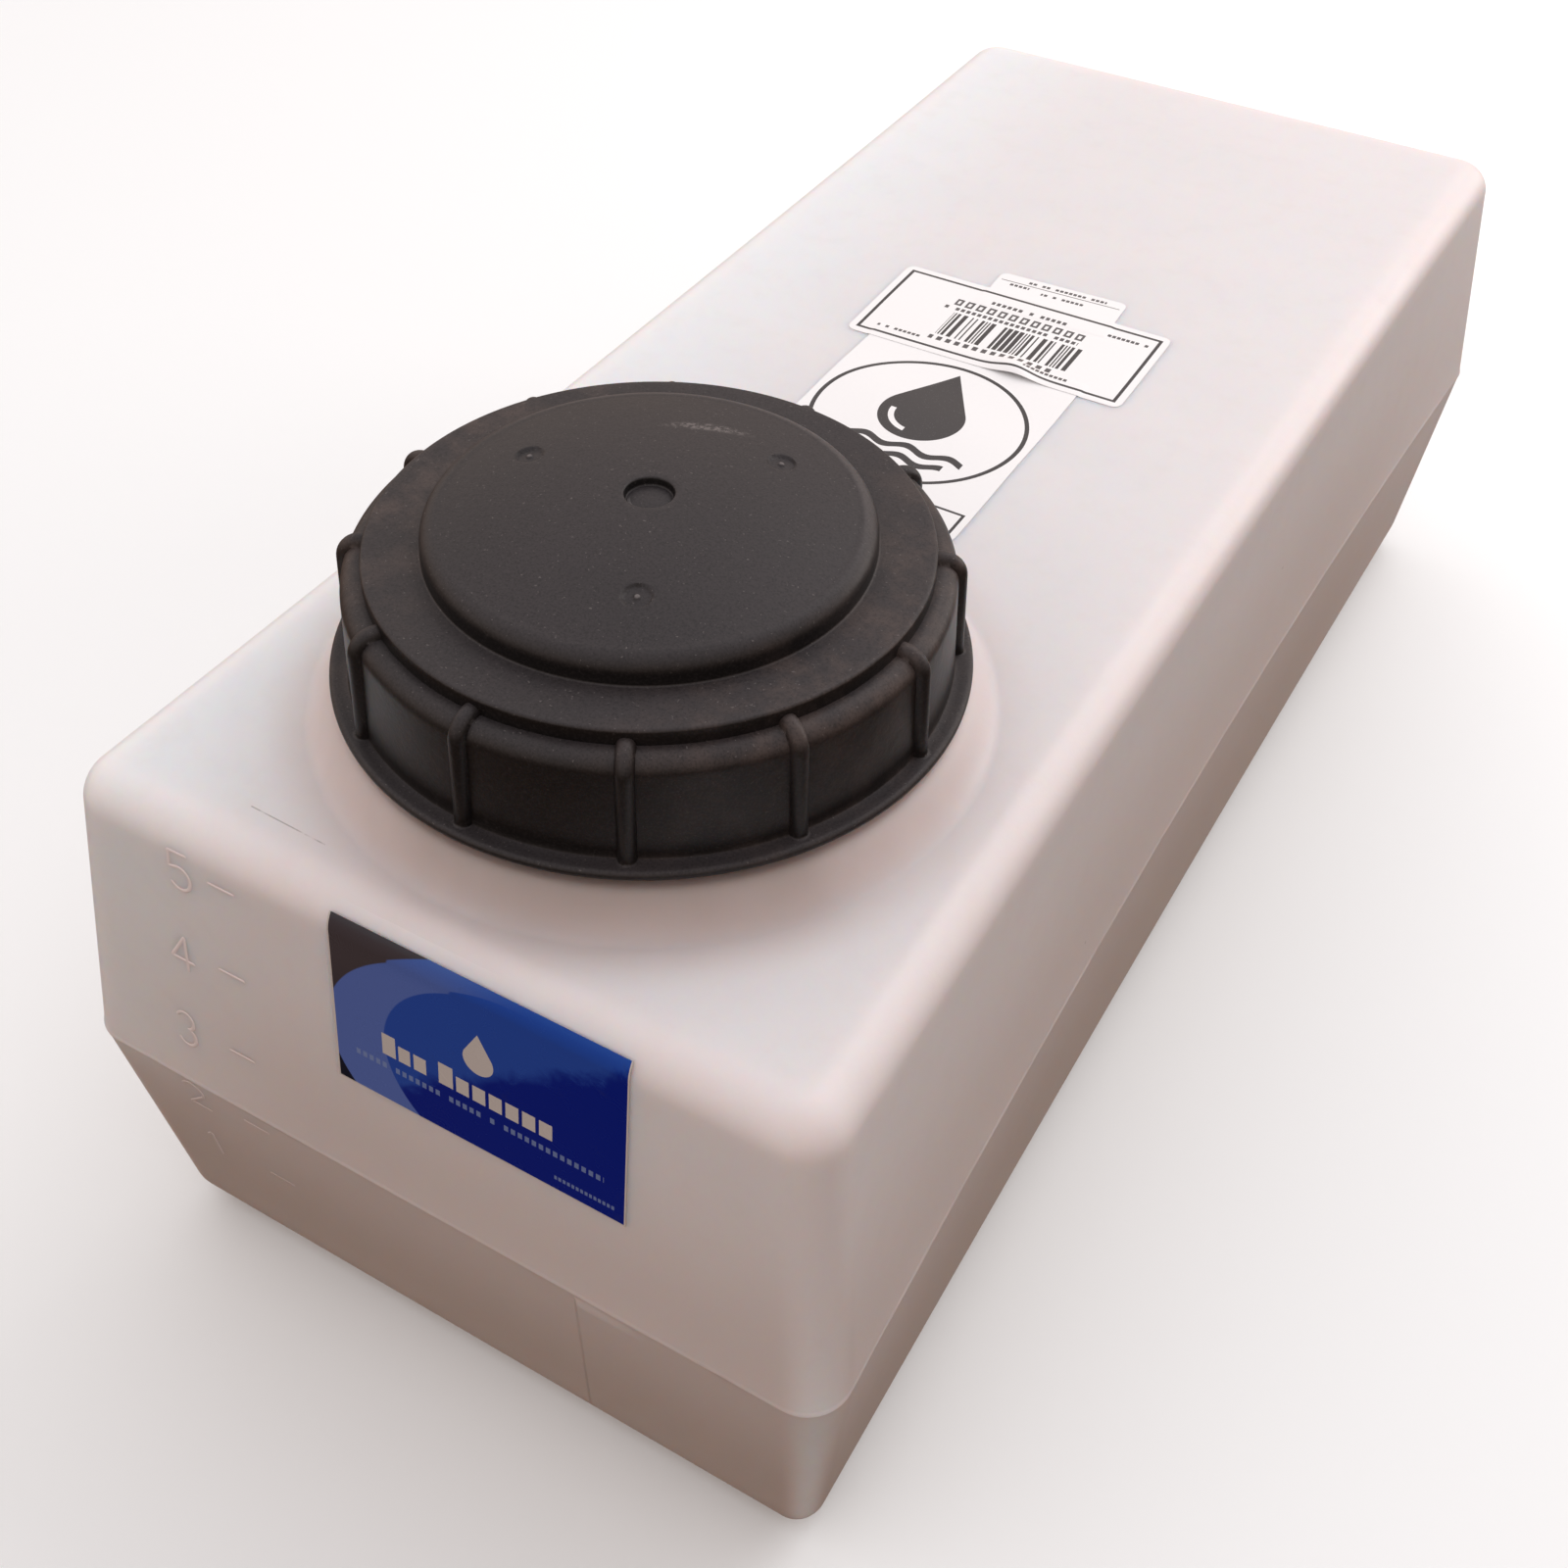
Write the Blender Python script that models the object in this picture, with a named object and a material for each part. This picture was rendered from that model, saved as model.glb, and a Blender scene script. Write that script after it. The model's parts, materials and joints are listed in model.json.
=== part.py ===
"""Five-gallon rectangular fresh water tank with a large screw lid.

Metres, +Z up. The tank's long side runs along Y with the lid near the -Y end, and the
origin is the centre of the base. Run it from Blender's text editor, or with
blender --background --python part.py
"""

import math

import bmesh
import bpy
from mathutils import Matrix, Vector

# Tank body. Widths and lengths are half sizes at the parting line, the widest level.
HALF_WIDTH = 0.1225
HALF_LENGTH = 0.2861
LOWER_HEIGHT = 0.0911
UPPER_HEIGHT = 0.0977
TOP = LOWER_HEIGHT + UPPER_HEIGHT
TOP_INSET = 0.0086
BOTTOM_INSET_SIDE = 0.0109
BOTTOM_INSET_END = 0.0144
TOP_EDGE_RADIUS = 0.0105
BOTTOM_EDGE_RADIUS = 0.0136
CORNER_RADIUS = 0.0125
BOTTOM_CORNER_RADIUS = 0.0080
LEAST_CORNER_RADIUS = 0.0020
WALL = 0.0040
SIDE_BOW = 0.0058
TOP_BOW = 0.0012
BEAD_OUT = 0.0008
BEAD_HALF_HEIGHT = 0.0016

# Neck and the soft boss that it stands on. Heights count from the top of the tank.
NECK_Y = -0.1696
BOSS_HEIGHT = 0.0105
BOSS_TOP_RADIUS = 0.0840
BOSS_FOOT_RADIUS = 0.0950
NECK_HEIGHT = 0.0410
NECK_RADIUS = 0.0736
NECK_FOOT_FILLET = 0.0020
NECK_RIM_CHAMFER = 0.0006
NECK_BORE_RADIUS = 0.0685

# Screw thread. Both threads have one pitch and lie about half a pitch apart when closed.
PITCH = 0.0080
THREAD_BASE = 0.0044
THREAD_CREST = 0.0024
THREAD_ROOT = 0.0010
NECK_CREST_RADIUS = 0.0766
LID_CREST_RADIUS = 0.0742
NECK_THREAD_START = 0.0235
NECK_THREAD_TURNS = 1.8
LID_THREAD_START = NECK_THREAD_START - PITCH / 2 + 0.0003
LID_THREAD_TURNS = 1.5

# Lid. Heights count from the top of the tank. The middle of its top is a shallow crown.
LID_TURN = math.radians(-1.4)
LID_WALL = 0.0032
FLANGE_BOTTOM = 0.0136
FLANGE_TOP = 0.0165
FLANGE_RADIUS = 0.0860
SKIRT_FOOT_RADIUS = 0.0809
SKIRT_RADIUS = 0.0801
SKIRT_INNER_RADIUS = 0.0772
SHOULDER_HEIGHT = 0.0470
SHOULDER_RADIUS = 0.0050
DISC_HEIGHT = 0.0516
DISC_RADIUS = 0.0742
DISC_EDGE_RADIUS = 0.0010
CROWN_HEIGHT = 0.0657
CROWN_DROP = 0.0072
CROWN_RADIUS = 0.0589
CROWN_EDGE_RADIUS = 0.0050
SEAT_HEIGHT = 0.0440
SEAT_INNER_RADIUS = 0.0640
RECESS_RADIUS = 0.0065
RECESS_DEPTH = 0.0025
RECESS_WALL_RADIUS = 0.0110
RIB_COUNT = 12
RIB_RADIUS = 0.0024
RIB_BURIED = 0.0010

# Gasket, between the neck's rim and the seat under the lid.
GAP = 0.0003
GASKET_OUTER_RADIUS = 0.0750
GASKET_INNER_RADIUS = 0.0672
GASKET_EDGE = 0.0005

# Stickers lie just off the wall. The barcode label overlaps the two stickers next to it.
LABEL_THICKNESS = 0.0002
LABEL_CORNER_RADIUS = 0.0030
FRONT_LABEL_WIDTH = 0.0889
FRONT_LABEL_X = 0.0191
FRONT_LABEL_BOTTOM = LOWER_HEIGHT + 0.0372
FRONT_LABEL_WRAP = math.radians(36)
MARK_LABEL = {"size": (0.0774, 0.1015), "centre": (0.0014, -0.0182), "turn": 0.2}
INSPECTION_LABEL = {"size": (0.0480, 0.0250), "centre": (0.0082, 0.0775), "turn": 3.0}
BARCODE_LABEL = {"size": (0.1016, 0.0505), "centre": (0.0037, 0.0508), "turn": 0.9}

CORNER_STEPS = 4
SIDE_STEPS = 8
EDGE_STEPS = 3
ROUND_STEPS = 60
THREAD_STEPS = 40


def clear_scene():
    for obj in list(bpy.data.objects):
        bpy.data.objects.remove(obj, do_unlink=True)


def make_material(name, colour, roughness):
    material = bpy.data.materials.new(name)
    material.use_nodes = True
    shader = material.node_tree.nodes["Principled BSDF"]
    shader.inputs["Base Color"].default_value = (*colour, 1.0)
    shader.inputs["Roughness"].default_value = roughness
    shader.inputs["Metallic"].default_value = 0.0
    return material


def link_mesh(name, bm, material=None):
    """Turns a bmesh into an object. One without a material is a helper for a Boolean."""
    mesh = bpy.data.meshes.new(name)
    bmesh.ops.recalc_face_normals(bm, faces=bm.faces)
    bm.to_mesh(mesh)
    bm.free()
    obj = bpy.data.objects.new(name, mesh)
    bpy.context.scene.collection.objects.link(obj)
    if material:
        mesh.materials.append(material)
        mesh.shade_smooth()
        mesh.set_sharp_from_angle(angle=math.radians(35))
    else:
        obj.hide_render = True
        obj.display_type = "WIRE"
    return obj


def add_boolean(obj, other, operation):
    modifier = obj.modifiers.new(f"{operation.lower()}_{other.name}", "BOOLEAN")
    modifier.operation = operation
    modifier.solver = "EXACT"
    modifier.object = other


def skin(bm, rings):
    """Joins closed rings of points in order and caps the first and the last."""
    rows = [[bm.verts.new(point) for point in ring] for ring in rings]
    count = len(rows[0])
    for lower, upper in zip(rows, rows[1:]):
        for i in range(count):
            j = (i + 1) % count
            bm.faces.new((lower[i], lower[j], upper[j], upper[i]))
    bm.faces.new(rows[0])
    bm.faces.new(rows[-1])


def arc(centre, radius, start, end, steps):
    """Points on an arc in a plane, with the angles in degrees."""
    points = []
    for i in range(steps + 1):
        angle = math.radians(start + (end - start) * i / steps)
        points.append((centre[0] + radius * math.cos(angle), centre[1] + radius * math.sin(angle)))
    return points


def turned(name, profile, material=None, closed=False):
    """Revolves (radius, height) points about Z. An open profile starts and ends on the axis."""
    bm = bmesh.new()
    rows = []
    for radius, height in profile:
        if radius == 0:
            rows.append([bm.verts.new((0, 0, height))] * ROUND_STEPS)
        else:
            circle = arc((0, 0), radius, 0, 360, ROUND_STEPS)[:-1]
            rows.append([bm.verts.new((x, y, height)) for x, y in circle])
    pairs = list(zip(rows, rows[1:]))
    if closed:
        pairs.append((rows[-1], rows[0]))
    for first, second in pairs:
        for i in range(ROUND_STEPS):
            j = (i + 1) % ROUND_STEPS
            corners = (first[i], first[j], second[j], second[i])
            bm.faces.new(list(dict.fromkeys(corners)))
    return link_mesh(name, bm, material)


def thread(name, turns, start, root_radius, crest_radius):
    """A helical ridge with tapered ends. Its root lies inside the wall that it joins."""
    bm = bmesh.new()
    outward = math.copysign(1, crest_radius - root_radius)
    buried = root_radius - outward * THREAD_ROOT
    count = round(turns * THREAD_STEPS)
    taper = THREAD_STEPS / 8
    rings = []
    for i in range(count + 1):
        angle = 2 * math.pi * i / THREAD_STEPS
        middle = start + PITCH * i / THREAD_STEPS
        fullness = min(1, i / taper, (count - i) / taper)
        hidden = root_radius - outward * THREAD_ROOT / 2
        crest = hidden + (crest_radius - hidden) * fullness
        ring = []
        for radius, half in (
            (buried, THREAD_BASE / 2),
            (crest, THREAD_CREST / 2),
            (crest, -THREAD_CREST / 2),
            (buried, -THREAD_BASE / 2),
        ):
            ring.append((radius * math.cos(angle), radius * math.sin(angle), middle + half))
        rings.append(ring)
    skin(bm, rings)
    return link_mesh(name, bm)


def side_points(start, end, bow, steps):
    """Points between two corners of a level, pulled towards the middle of the tank by bow."""
    points = []
    for i in range(1, steps):
        t = i / steps
        point = start.lerp(end, t)
        point.x -= math.copysign(bow * (1 - (2 * t - 1) ** 2), point.x)
        points.append(point)
    return points


def level_ring(half_width, half_length, radius, bow, z):
    """One level of the tank: a rounded rectangle whose long sides bow inwards."""
    corners = []
    for sign_x, sign_y, start in ((1, 1, 0), (-1, 1, 90), (-1, -1, 180), (1, -1, 270)):
        centre = (sign_x * (half_width - radius), sign_y * (half_length - radius))
        points = arc(centre, radius, start, start + 90, CORNER_STEPS)
        corners.append([Vector(point) for point in points])
    ring = corners[0] + corners[1]
    ring += side_points(corners[1][-1], corners[2][0], bow, SIDE_STEPS)
    ring += corners[2] + corners[3]
    ring += side_points(corners[3][-1], corners[0][0], bow, SIDE_STEPS)
    return [(point.x, point.y, z) for point in ring]


def wall_at(z):
    """Half width, half length, corner radius and side bow of the outside at a height."""
    if z >= LOWER_HEIGHT:
        rise = (z - LOWER_HEIGHT) / UPPER_HEIGHT
        inset = TOP_INSET * rise
        bow = SIDE_BOW + (TOP_BOW - SIDE_BOW) * rise**2
        return HALF_WIDTH - inset, HALF_LENGTH - inset, CORNER_RADIUS, bow
    drop = (LOWER_HEIGHT - z) / LOWER_HEIGHT
    width = HALF_WIDTH - BOTTOM_INSET_SIDE * drop
    length = HALF_LENGTH - BOTTOM_INSET_END * drop
    radius = CORNER_RADIUS + (BOTTOM_CORNER_RADIUS - CORNER_RADIUS) * drop
    return width, length, radius, SIDE_BOW * (1 - drop**2)


def wall_levels():
    """(height, inset) of each level from the base to the top, with both edges rounded."""
    levels = []
    for inset, height in arc((0, 0), BOTTOM_EDGE_RADIUS, -90, 0, EDGE_STEPS):
        levels.append((BOTTOM_EDGE_RADIUS + height, BOTTOM_EDGE_RADIUS - inset))
    levels.append(((BOTTOM_EDGE_RADIUS + LOWER_HEIGHT) / 2, 0))
    for height, out in ((-1, 0), (-0.4, BEAD_OUT), (0.4, BEAD_OUT), (1, 0)):
        levels.append((LOWER_HEIGHT + height * BEAD_HALF_HEIGHT, -out))
    rounding_start = TOP - TOP_EDGE_RADIUS
    levels.append(((LOWER_HEIGHT + rounding_start) / 2, 0))
    for inset, height in arc((0, 0), TOP_EDGE_RADIUS, 0, 90, EDGE_STEPS):
        levels.append((rounding_start + height, TOP_EDGE_RADIUS - inset))
    return levels


def body_blank(name, thickness=0.0, material=None):
    """The tank's outside, or with a thickness the hollow inside it, without the bead."""
    rings = []
    for z, inset in wall_levels():
        half_width, half_length, radius, bow = wall_at(z)
        inset = max(inset, 0) + thickness if thickness else inset
        scale = (TOP - 2 * thickness) / TOP
        radius = max(radius - inset, LEAST_CORNER_RADIUS)
        height = thickness + z * scale
        rings.append(level_ring(half_width - inset, half_length - inset, radius, bow, height))
    bm = bmesh.new()
    skin(bm, rings)
    return link_mesh(name, bm, material)


def boss_curve(offset=0.0):
    """The soft step from the top of the tank up to the foot of the neck."""
    points = []
    steps = 5
    for i in range(steps + 1):
        t = i / steps
        radius = BOSS_FOOT_RADIUS + (BOSS_TOP_RADIUS - BOSS_FOOT_RADIUS) * t
        points.append((radius - offset, BOSS_HEIGHT * (1 - math.cos(math.pi * t)) / 2 - offset))
    return points


def neck_foot_arc(radius, height):
    """The rounded corner between the boss and the neck's wall."""
    centre = (radius + NECK_FOOT_FILLET, height + NECK_FOOT_FILLET)
    return arc(centre, NECK_FOOT_FILLET, 270, 180, 2)


def neck_blank():
    inside = -WALL / 2
    profile = [(0, inside), (BOSS_FOOT_RADIUS, inside)]
    profile += boss_curve()[1:]
    profile += neck_foot_arc(NECK_RADIUS, BOSS_HEIGHT)
    rim_start = (NECK_RADIUS, NECK_HEIGHT - NECK_RIM_CHAMFER)
    rim_end = (NECK_RADIUS - NECK_RIM_CHAMFER, NECK_HEIGHT)
    return turned("neck_blank", profile + [rim_start, rim_end, (0, NECK_HEIGHT)])


def neck_hollow():
    below = -2 * WALL
    above = NECK_HEIGHT + WALL
    profile = [(0, below), (BOSS_FOOT_RADIUS - WALL, below)]
    profile += boss_curve(WALL)
    profile += neck_foot_arc(NECK_BORE_RADIUS, BOSS_HEIGHT - WALL)
    return turned("neck_hollow", profile + [(NECK_BORE_RADIUS, above), (0, above)])


def make_tank_shell():
    polyethylene = make_material("milky_polyethylene", (0.80, 0.75, 0.73), 0.42)
    tank = body_blank("tank_shell", material=polyethylene)
    neck = neck_blank()
    ridge_radii = (NECK_RADIUS, NECK_CREST_RADIUS)
    ridge = thread("neck_thread", NECK_THREAD_TURNS, NECK_THREAD_START, *ridge_radii)
    cavity = body_blank("cavity", thickness=WALL)
    hollow = neck_hollow()
    for helper in (neck, ridge, hollow):
        helper.location = (0, NECK_Y, TOP)
    add_boolean(tank, neck, "UNION")
    add_boolean(tank, ridge, "UNION")
    add_boolean(tank, cavity, "DIFFERENCE")
    add_boolean(tank, hollow, "DIFFERENCE")
    return tank


def crown_height(radius):
    return CROWN_HEIGHT - CROWN_DROP * (radius / CROWN_RADIUS) ** 2


def crown_points(start, end, offset=0.0):
    """Points across the crown between two radii, or an offset below it."""
    steps = 4
    radii = [start + (end - start) * i / steps for i in range(steps + 1)]
    return [(radius, crown_height(radius) - offset) for radius in radii]


def lid_profile():
    """The lid's section, from the middle of its top out over the rim and back underneath."""
    recess_floor = CROWN_HEIGHT - RECESS_DEPTH
    disc_ceiling = DISC_HEIGHT - LID_WALL
    ceiling_radius = CROWN_RADIUS - LID_WALL
    flange_edge = (FLANGE_TOP - FLANGE_BOTTOM) / 2
    profile = [(0, recess_floor), (RECESS_RADIUS, recess_floor)]
    crown_end = CROWN_RADIUS - CROWN_EDGE_RADIUS
    profile += crown_points(RECESS_RADIUS, crown_end)
    edge_centre = (crown_end, crown_height(crown_end) - CROWN_EDGE_RADIUS)
    profile += arc(edge_centre, CROWN_EDGE_RADIUS, 90, 0, 3)[1:]
    profile += [(CROWN_RADIUS, DISC_HEIGHT)]
    disc_edge = (DISC_RADIUS - DISC_EDGE_RADIUS, DISC_HEIGHT - DISC_EDGE_RADIUS)
    profile += arc(disc_edge, DISC_EDGE_RADIUS, 90, 0, 1)
    profile += [(DISC_RADIUS, SHOULDER_HEIGHT)]
    shoulder = (SKIRT_RADIUS - SHOULDER_RADIUS, SHOULDER_HEIGHT - SHOULDER_RADIUS)
    profile += arc(shoulder, SHOULDER_RADIUS, 90, 0, 4)
    profile += [(SKIRT_FOOT_RADIUS, FLANGE_TOP)]
    flange_centre = (FLANGE_RADIUS - flange_edge, FLANGE_BOTTOM + flange_edge)
    profile += arc(flange_centre, flange_edge, 90, -90, 2)
    profile += [(SKIRT_INNER_RADIUS, FLANGE_BOTTOM), (SKIRT_INNER_RADIUS, SEAT_HEIGHT)]
    profile += [(SEAT_INNER_RADIUS, SEAT_HEIGHT), (SEAT_INNER_RADIUS, disc_ceiling)]
    profile += [(ceiling_radius, disc_ceiling)]
    profile += crown_points(ceiling_radius - LID_WALL, RECESS_WALL_RADIUS, LID_WALL)
    return profile + [(RECESS_RADIUS, recess_floor - LID_WALL), (0, recess_floor - LID_WALL)]


def rib_rings():
    """Rings of one grip rib: up the skirt from the flange, over the shoulder, to the disc's edge."""
    shoulder = (SKIRT_RADIUS - SHOULDER_RADIUS, SHOULDER_HEIGHT - SHOULDER_RADIUS)
    path = [((SKIRT_FOOT_RADIUS, FLANGE_TOP - RIB_BURIED), 0)]
    steps = 4
    for i, point in enumerate(arc(shoulder, SHOULDER_RADIUS, 0, 90, steps)):
        path.append((point, math.radians(90 * i / steps)))
    path.append(((DISC_RADIUS - RIB_BURIED, SHOULDER_HEIGHT), math.radians(90)))
    rings = []
    for (radius, height), tilt in path:
        outward = Vector((math.cos(tilt), 0, math.sin(tilt)))
        ring = []
        for across, out in arc((0, 0), RIB_RADIUS, 0, 360, 8)[:-1]:
            ring.append(Vector((radius, 0, height)) + outward * out + Vector((0, across, 0)))
        rings.append(ring)
    return rings


def lid_ribs():
    bm = bmesh.new()
    for i in range(RIB_COUNT):
        turn = Matrix.Rotation(2 * math.pi * i / RIB_COUNT, 3, "Z")
        skin(bm, [[turn @ point for point in ring] for ring in rib_rings()])
    return link_mesh("lid_ribs", bm)


def make_lid():
    polypropylene = make_material("black_polypropylene", (0.022, 0.020, 0.020), 0.55)
    lid = turned("lid", lid_profile(), polypropylene)
    ribs = lid_ribs()
    ridge_radii = (SKIRT_INNER_RADIUS, LID_CREST_RADIUS)
    ridge = thread("lid_thread", LID_THREAD_TURNS, LID_THREAD_START, *ridge_radii)
    for obj in (lid, ribs, ridge):
        obj.location = (0, NECK_Y, TOP)
        obj.rotation_euler.z = LID_TURN
    add_boolean(lid, ribs, "UNION")
    add_boolean(lid, ridge, "UNION")
    return lid


def make_gasket():
    rubber = make_material("white_gasket_rubber", (0.70, 0.69, 0.66), 0.70)
    low = NECK_HEIGHT + GAP
    high = SEAT_HEIGHT - GAP
    inner, outer = GASKET_INNER_RADIUS, GASKET_OUTER_RADIUS
    profile = []
    for radius, inward in ((inner, GASKET_EDGE), (outer, -GASKET_EDGE)):
        side = [(radius, high - GASKET_EDGE), (radius, low + GASKET_EDGE), (radius + inward, low)]
        side.insert(0, (radius + inward, high))
        profile += side if radius == inner else side[::-1]
    gasket = turned("lid_gasket", profile, rubber, closed=True)
    gasket.location = (0, NECK_Y, TOP)
    return gasket


def make_top_label(name, label, height, material):
    """A flat sticker with rounded corners, lying above the top of the tank."""
    half_x, half_y = label["size"][0] / 2, label["size"][1] / 2
    outline = []
    for sign_x, sign_y, start in ((1, 1, 0), (-1, 1, 90), (-1, -1, 180), (1, -1, 270)):
        centre = (sign_x * (half_x - LABEL_CORNER_RADIUS), sign_y * (half_y - LABEL_CORNER_RADIUS))
        outline += arc(centre, LABEL_CORNER_RADIUS, start, start + 90, 3)
    bm = bmesh.new()
    skin(bm, [[(x, y, z) for x, y in outline] for z in (0, LABEL_THICKNESS)])
    obj = link_mesh(name, bm, material)
    obj.location = (*label["centre"], TOP + height)
    obj.rotation_euler.z = math.radians(label["turn"])
    return obj


def front_wall_section(offset):
    """(y, z) points up the front wall and over its top edge, a little way off the surface."""
    slope = math.atan2(TOP_INSET, UPPER_HEIGHT)
    outward = Vector((-math.cos(slope), math.sin(slope)))
    points = []
    for z in (FRONT_LABEL_BOTTOM, TOP - TOP_EDGE_RADIUS):
        points.append(Vector((-wall_at(z)[1], z)) + outward * offset)
    z = TOP - TOP_EDGE_RADIUS
    centre = Vector((-wall_at(z)[1] + TOP_EDGE_RADIUS, z))
    steps = 4
    for i in range(1, steps + 1):
        angle = slope + (FRONT_LABEL_WRAP - slope) * i / steps
        out = Vector((-math.cos(angle), math.sin(angle)))
        points.append(centre + out * (TOP_EDGE_RADIUS + offset))
    return points


def make_front_label():
    """A sticker on the front wall whose upper edge wraps over the rounded top edge."""
    printed_blue = make_material("printed_blue_vinyl", (0.010, 0.040, 0.300), 0.25)
    section = front_wall_section(2 * GAP)
    section += reversed(front_wall_section(2 * GAP + LABEL_THICKNESS))
    half = FRONT_LABEL_WIDTH / 2
    bm = bmesh.new()
    ends = (FRONT_LABEL_X - half, FRONT_LABEL_X + half)
    skin(bm, [[(x, point.x, point.y) for point in section] for x in ends])
    return link_mesh("front_label", bm, printed_blue)


def build():
    clear_scene()
    make_tank_shell()
    make_lid()
    make_gasket()
    make_front_label()
    paper = make_material("white_label_paper", (0.86, 0.86, 0.86), 0.35)
    first_layer = GAP
    second_layer = first_layer + LABEL_THICKNESS + GAP
    make_top_label("certification_label", MARK_LABEL, first_layer, paper)
    make_top_label("inspection_label", INSPECTION_LABEL, first_layer, paper)
    make_top_label("barcode_label", BARCODE_LABEL, second_layer, paper)


build()
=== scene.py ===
"""Looks of the fresh water tank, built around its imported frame. Metres, +Z up.

The tank's long side runs along Y with the lid near the -Y end, and the origin is the
centre of the base. Heights on the neck and the lid count from the top of the tank.
"""

import json
import math

import bpy
import numpy as np
from mathutils import Euler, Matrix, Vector


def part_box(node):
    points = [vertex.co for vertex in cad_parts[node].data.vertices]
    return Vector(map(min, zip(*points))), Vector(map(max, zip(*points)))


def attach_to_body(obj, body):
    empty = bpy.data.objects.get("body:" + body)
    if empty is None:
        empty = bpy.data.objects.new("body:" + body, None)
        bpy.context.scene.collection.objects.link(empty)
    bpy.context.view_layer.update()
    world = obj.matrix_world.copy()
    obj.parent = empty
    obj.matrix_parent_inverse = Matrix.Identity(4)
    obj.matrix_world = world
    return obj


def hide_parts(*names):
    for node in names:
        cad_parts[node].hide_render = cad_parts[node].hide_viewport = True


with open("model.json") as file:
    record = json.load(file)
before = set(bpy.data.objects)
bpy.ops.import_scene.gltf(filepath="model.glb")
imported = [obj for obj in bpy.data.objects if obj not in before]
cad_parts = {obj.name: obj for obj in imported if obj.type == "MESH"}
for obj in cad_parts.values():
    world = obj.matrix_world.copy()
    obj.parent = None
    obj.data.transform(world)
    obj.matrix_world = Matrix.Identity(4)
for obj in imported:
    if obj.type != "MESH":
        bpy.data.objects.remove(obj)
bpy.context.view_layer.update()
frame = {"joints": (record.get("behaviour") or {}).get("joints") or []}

TANK_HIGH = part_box("tank_shell")[1]
LID_LOW, LID_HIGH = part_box("lid")
GASKET_LOW, GASKET_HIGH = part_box("lid_gasket")
LID_AXIS = next(joint for joint in frame["joints"] if joint["name"] == "lid_turn")["pos_m"]

# Tank body. Half sizes are those of the parting line, the widest level.
BEAD_OUT = 0.0008
BEAD_SEEN = 0.00022
BEAD_HALF_HEIGHT = 0.0016
HALF_WIDTH = TANK_HIGH.x - BEAD_OUT
HALF_LENGTH = TANK_HIGH.y - BEAD_OUT
NECK_HEIGHT = 0.041
TOP = TANK_HIGH.z - NECK_HEIGHT
LOWER_HEIGHT = 0.0911
UPPER_HEIGHT = TOP - LOWER_HEIGHT
TOP_INSET = 0.0086
BOTTOM_INSET_SIDE = 0.0109
BOTTOM_INSET_END = 0.0144
UPPER_SLOPE = math.atan2(TOP_INSET, UPPER_HEIGHT)
LOWER_SLOPE = math.atan2(BOTTOM_INSET_END, LOWER_HEIGHT)
TOP_EDGE_RADIUS = 0.0105
TOP_EDGE_START = TOP - TOP_EDGE_RADIUS
BOTTOM_EDGE_RADIUS = 0.0136
CORNER_RADIUS = 0.0125
BOTTOM_CORNER_RADIUS = 0.008
LEAST_CORNER_RADIUS = 0.002
WALL = 0.004
SIDE_BOW = 0.0058
TOP_BOW = 0.0012
TOP_DIP = 0.0005
BASE_RISE = 0.0012

# Neck and the soft boss that it stands on.
NECK_Y = LID_AXIS[1]
BOSS_HEIGHT = 0.0105
BOSS_TOP_RADIUS = 0.084
BOSS_FOOT_RADIUS = 0.095
NECK_RADIUS = 0.0736
NECK_FOOT_FILLET = 0.002
NECK_RIM_CHAMFER = 0.0006
NECK_BORE_RADIUS = 0.0685

# Screw threads. The two lie half a pitch apart when the lid is closed.
PITCH = 0.008
THREAD_BASE = 0.0044
THREAD_CREST = 0.0024
NECK_CREST_RADIUS = 0.0766
LID_CREST_RADIUS = 0.0742
NECK_THREAD_START = 0.0235
NECK_THREAD_TURNS = 1.8
LID_THREAD_START = NECK_THREAD_START - PITCH / 2 + 0.0003
LID_THREAD_TURNS = 1.5

# Lid.
LID_TURN = -1.4
LID_WALL = 0.0032
FLANGE_RADIUS = LID_HIGH.x
FLANGE_BOTTOM = LID_LOW.z - TOP
FLANGE_TOP = FLANGE_BOTTOM + 0.0029
SKIRT_FOOT_RADIUS = 0.0809
SKIRT_RADIUS = 0.0801
SKIRT_INNER_RADIUS = 0.0772
SHOULDER_HEIGHT = 0.047
SHOULDER_RADIUS = 0.005
DISC_HEIGHT = 0.0516
DISC_RADIUS = 0.0742
DISC_EDGE_RADIUS = 0.001
CROWN_HEIGHT = 0.0657
CROWN_DROP = 0.0072
CROWN_RADIUS = 0.0589
CROWN_EDGE_RADIUS = 0.005
CROWN_FOOT_FILLET = 0.0006
SEAT_HEIGHT = 0.044
SEAT_INNER_RADIUS = 0.064
RECESS_RADIUS = 0.0065
RECESS_DEPTH = 0.0025
RECESS_DOME = 0.0007
RECESS_FILLET = 0.0006
RIB_COUNT = 12
RIB_PITCH = 2 * math.pi / RIB_COUNT
RIB_RADIUS = 0.0024
GATE_ANGLES = (180, 60, -60)
GATE_PLACE = 0.0382
GATE_RADIUS = 0.004
GATE_DEPTH = 0.0008
GATE_NUB_RADIUS = 0.0013
GATE_NUB_HEIGHT = 0.0006

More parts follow.
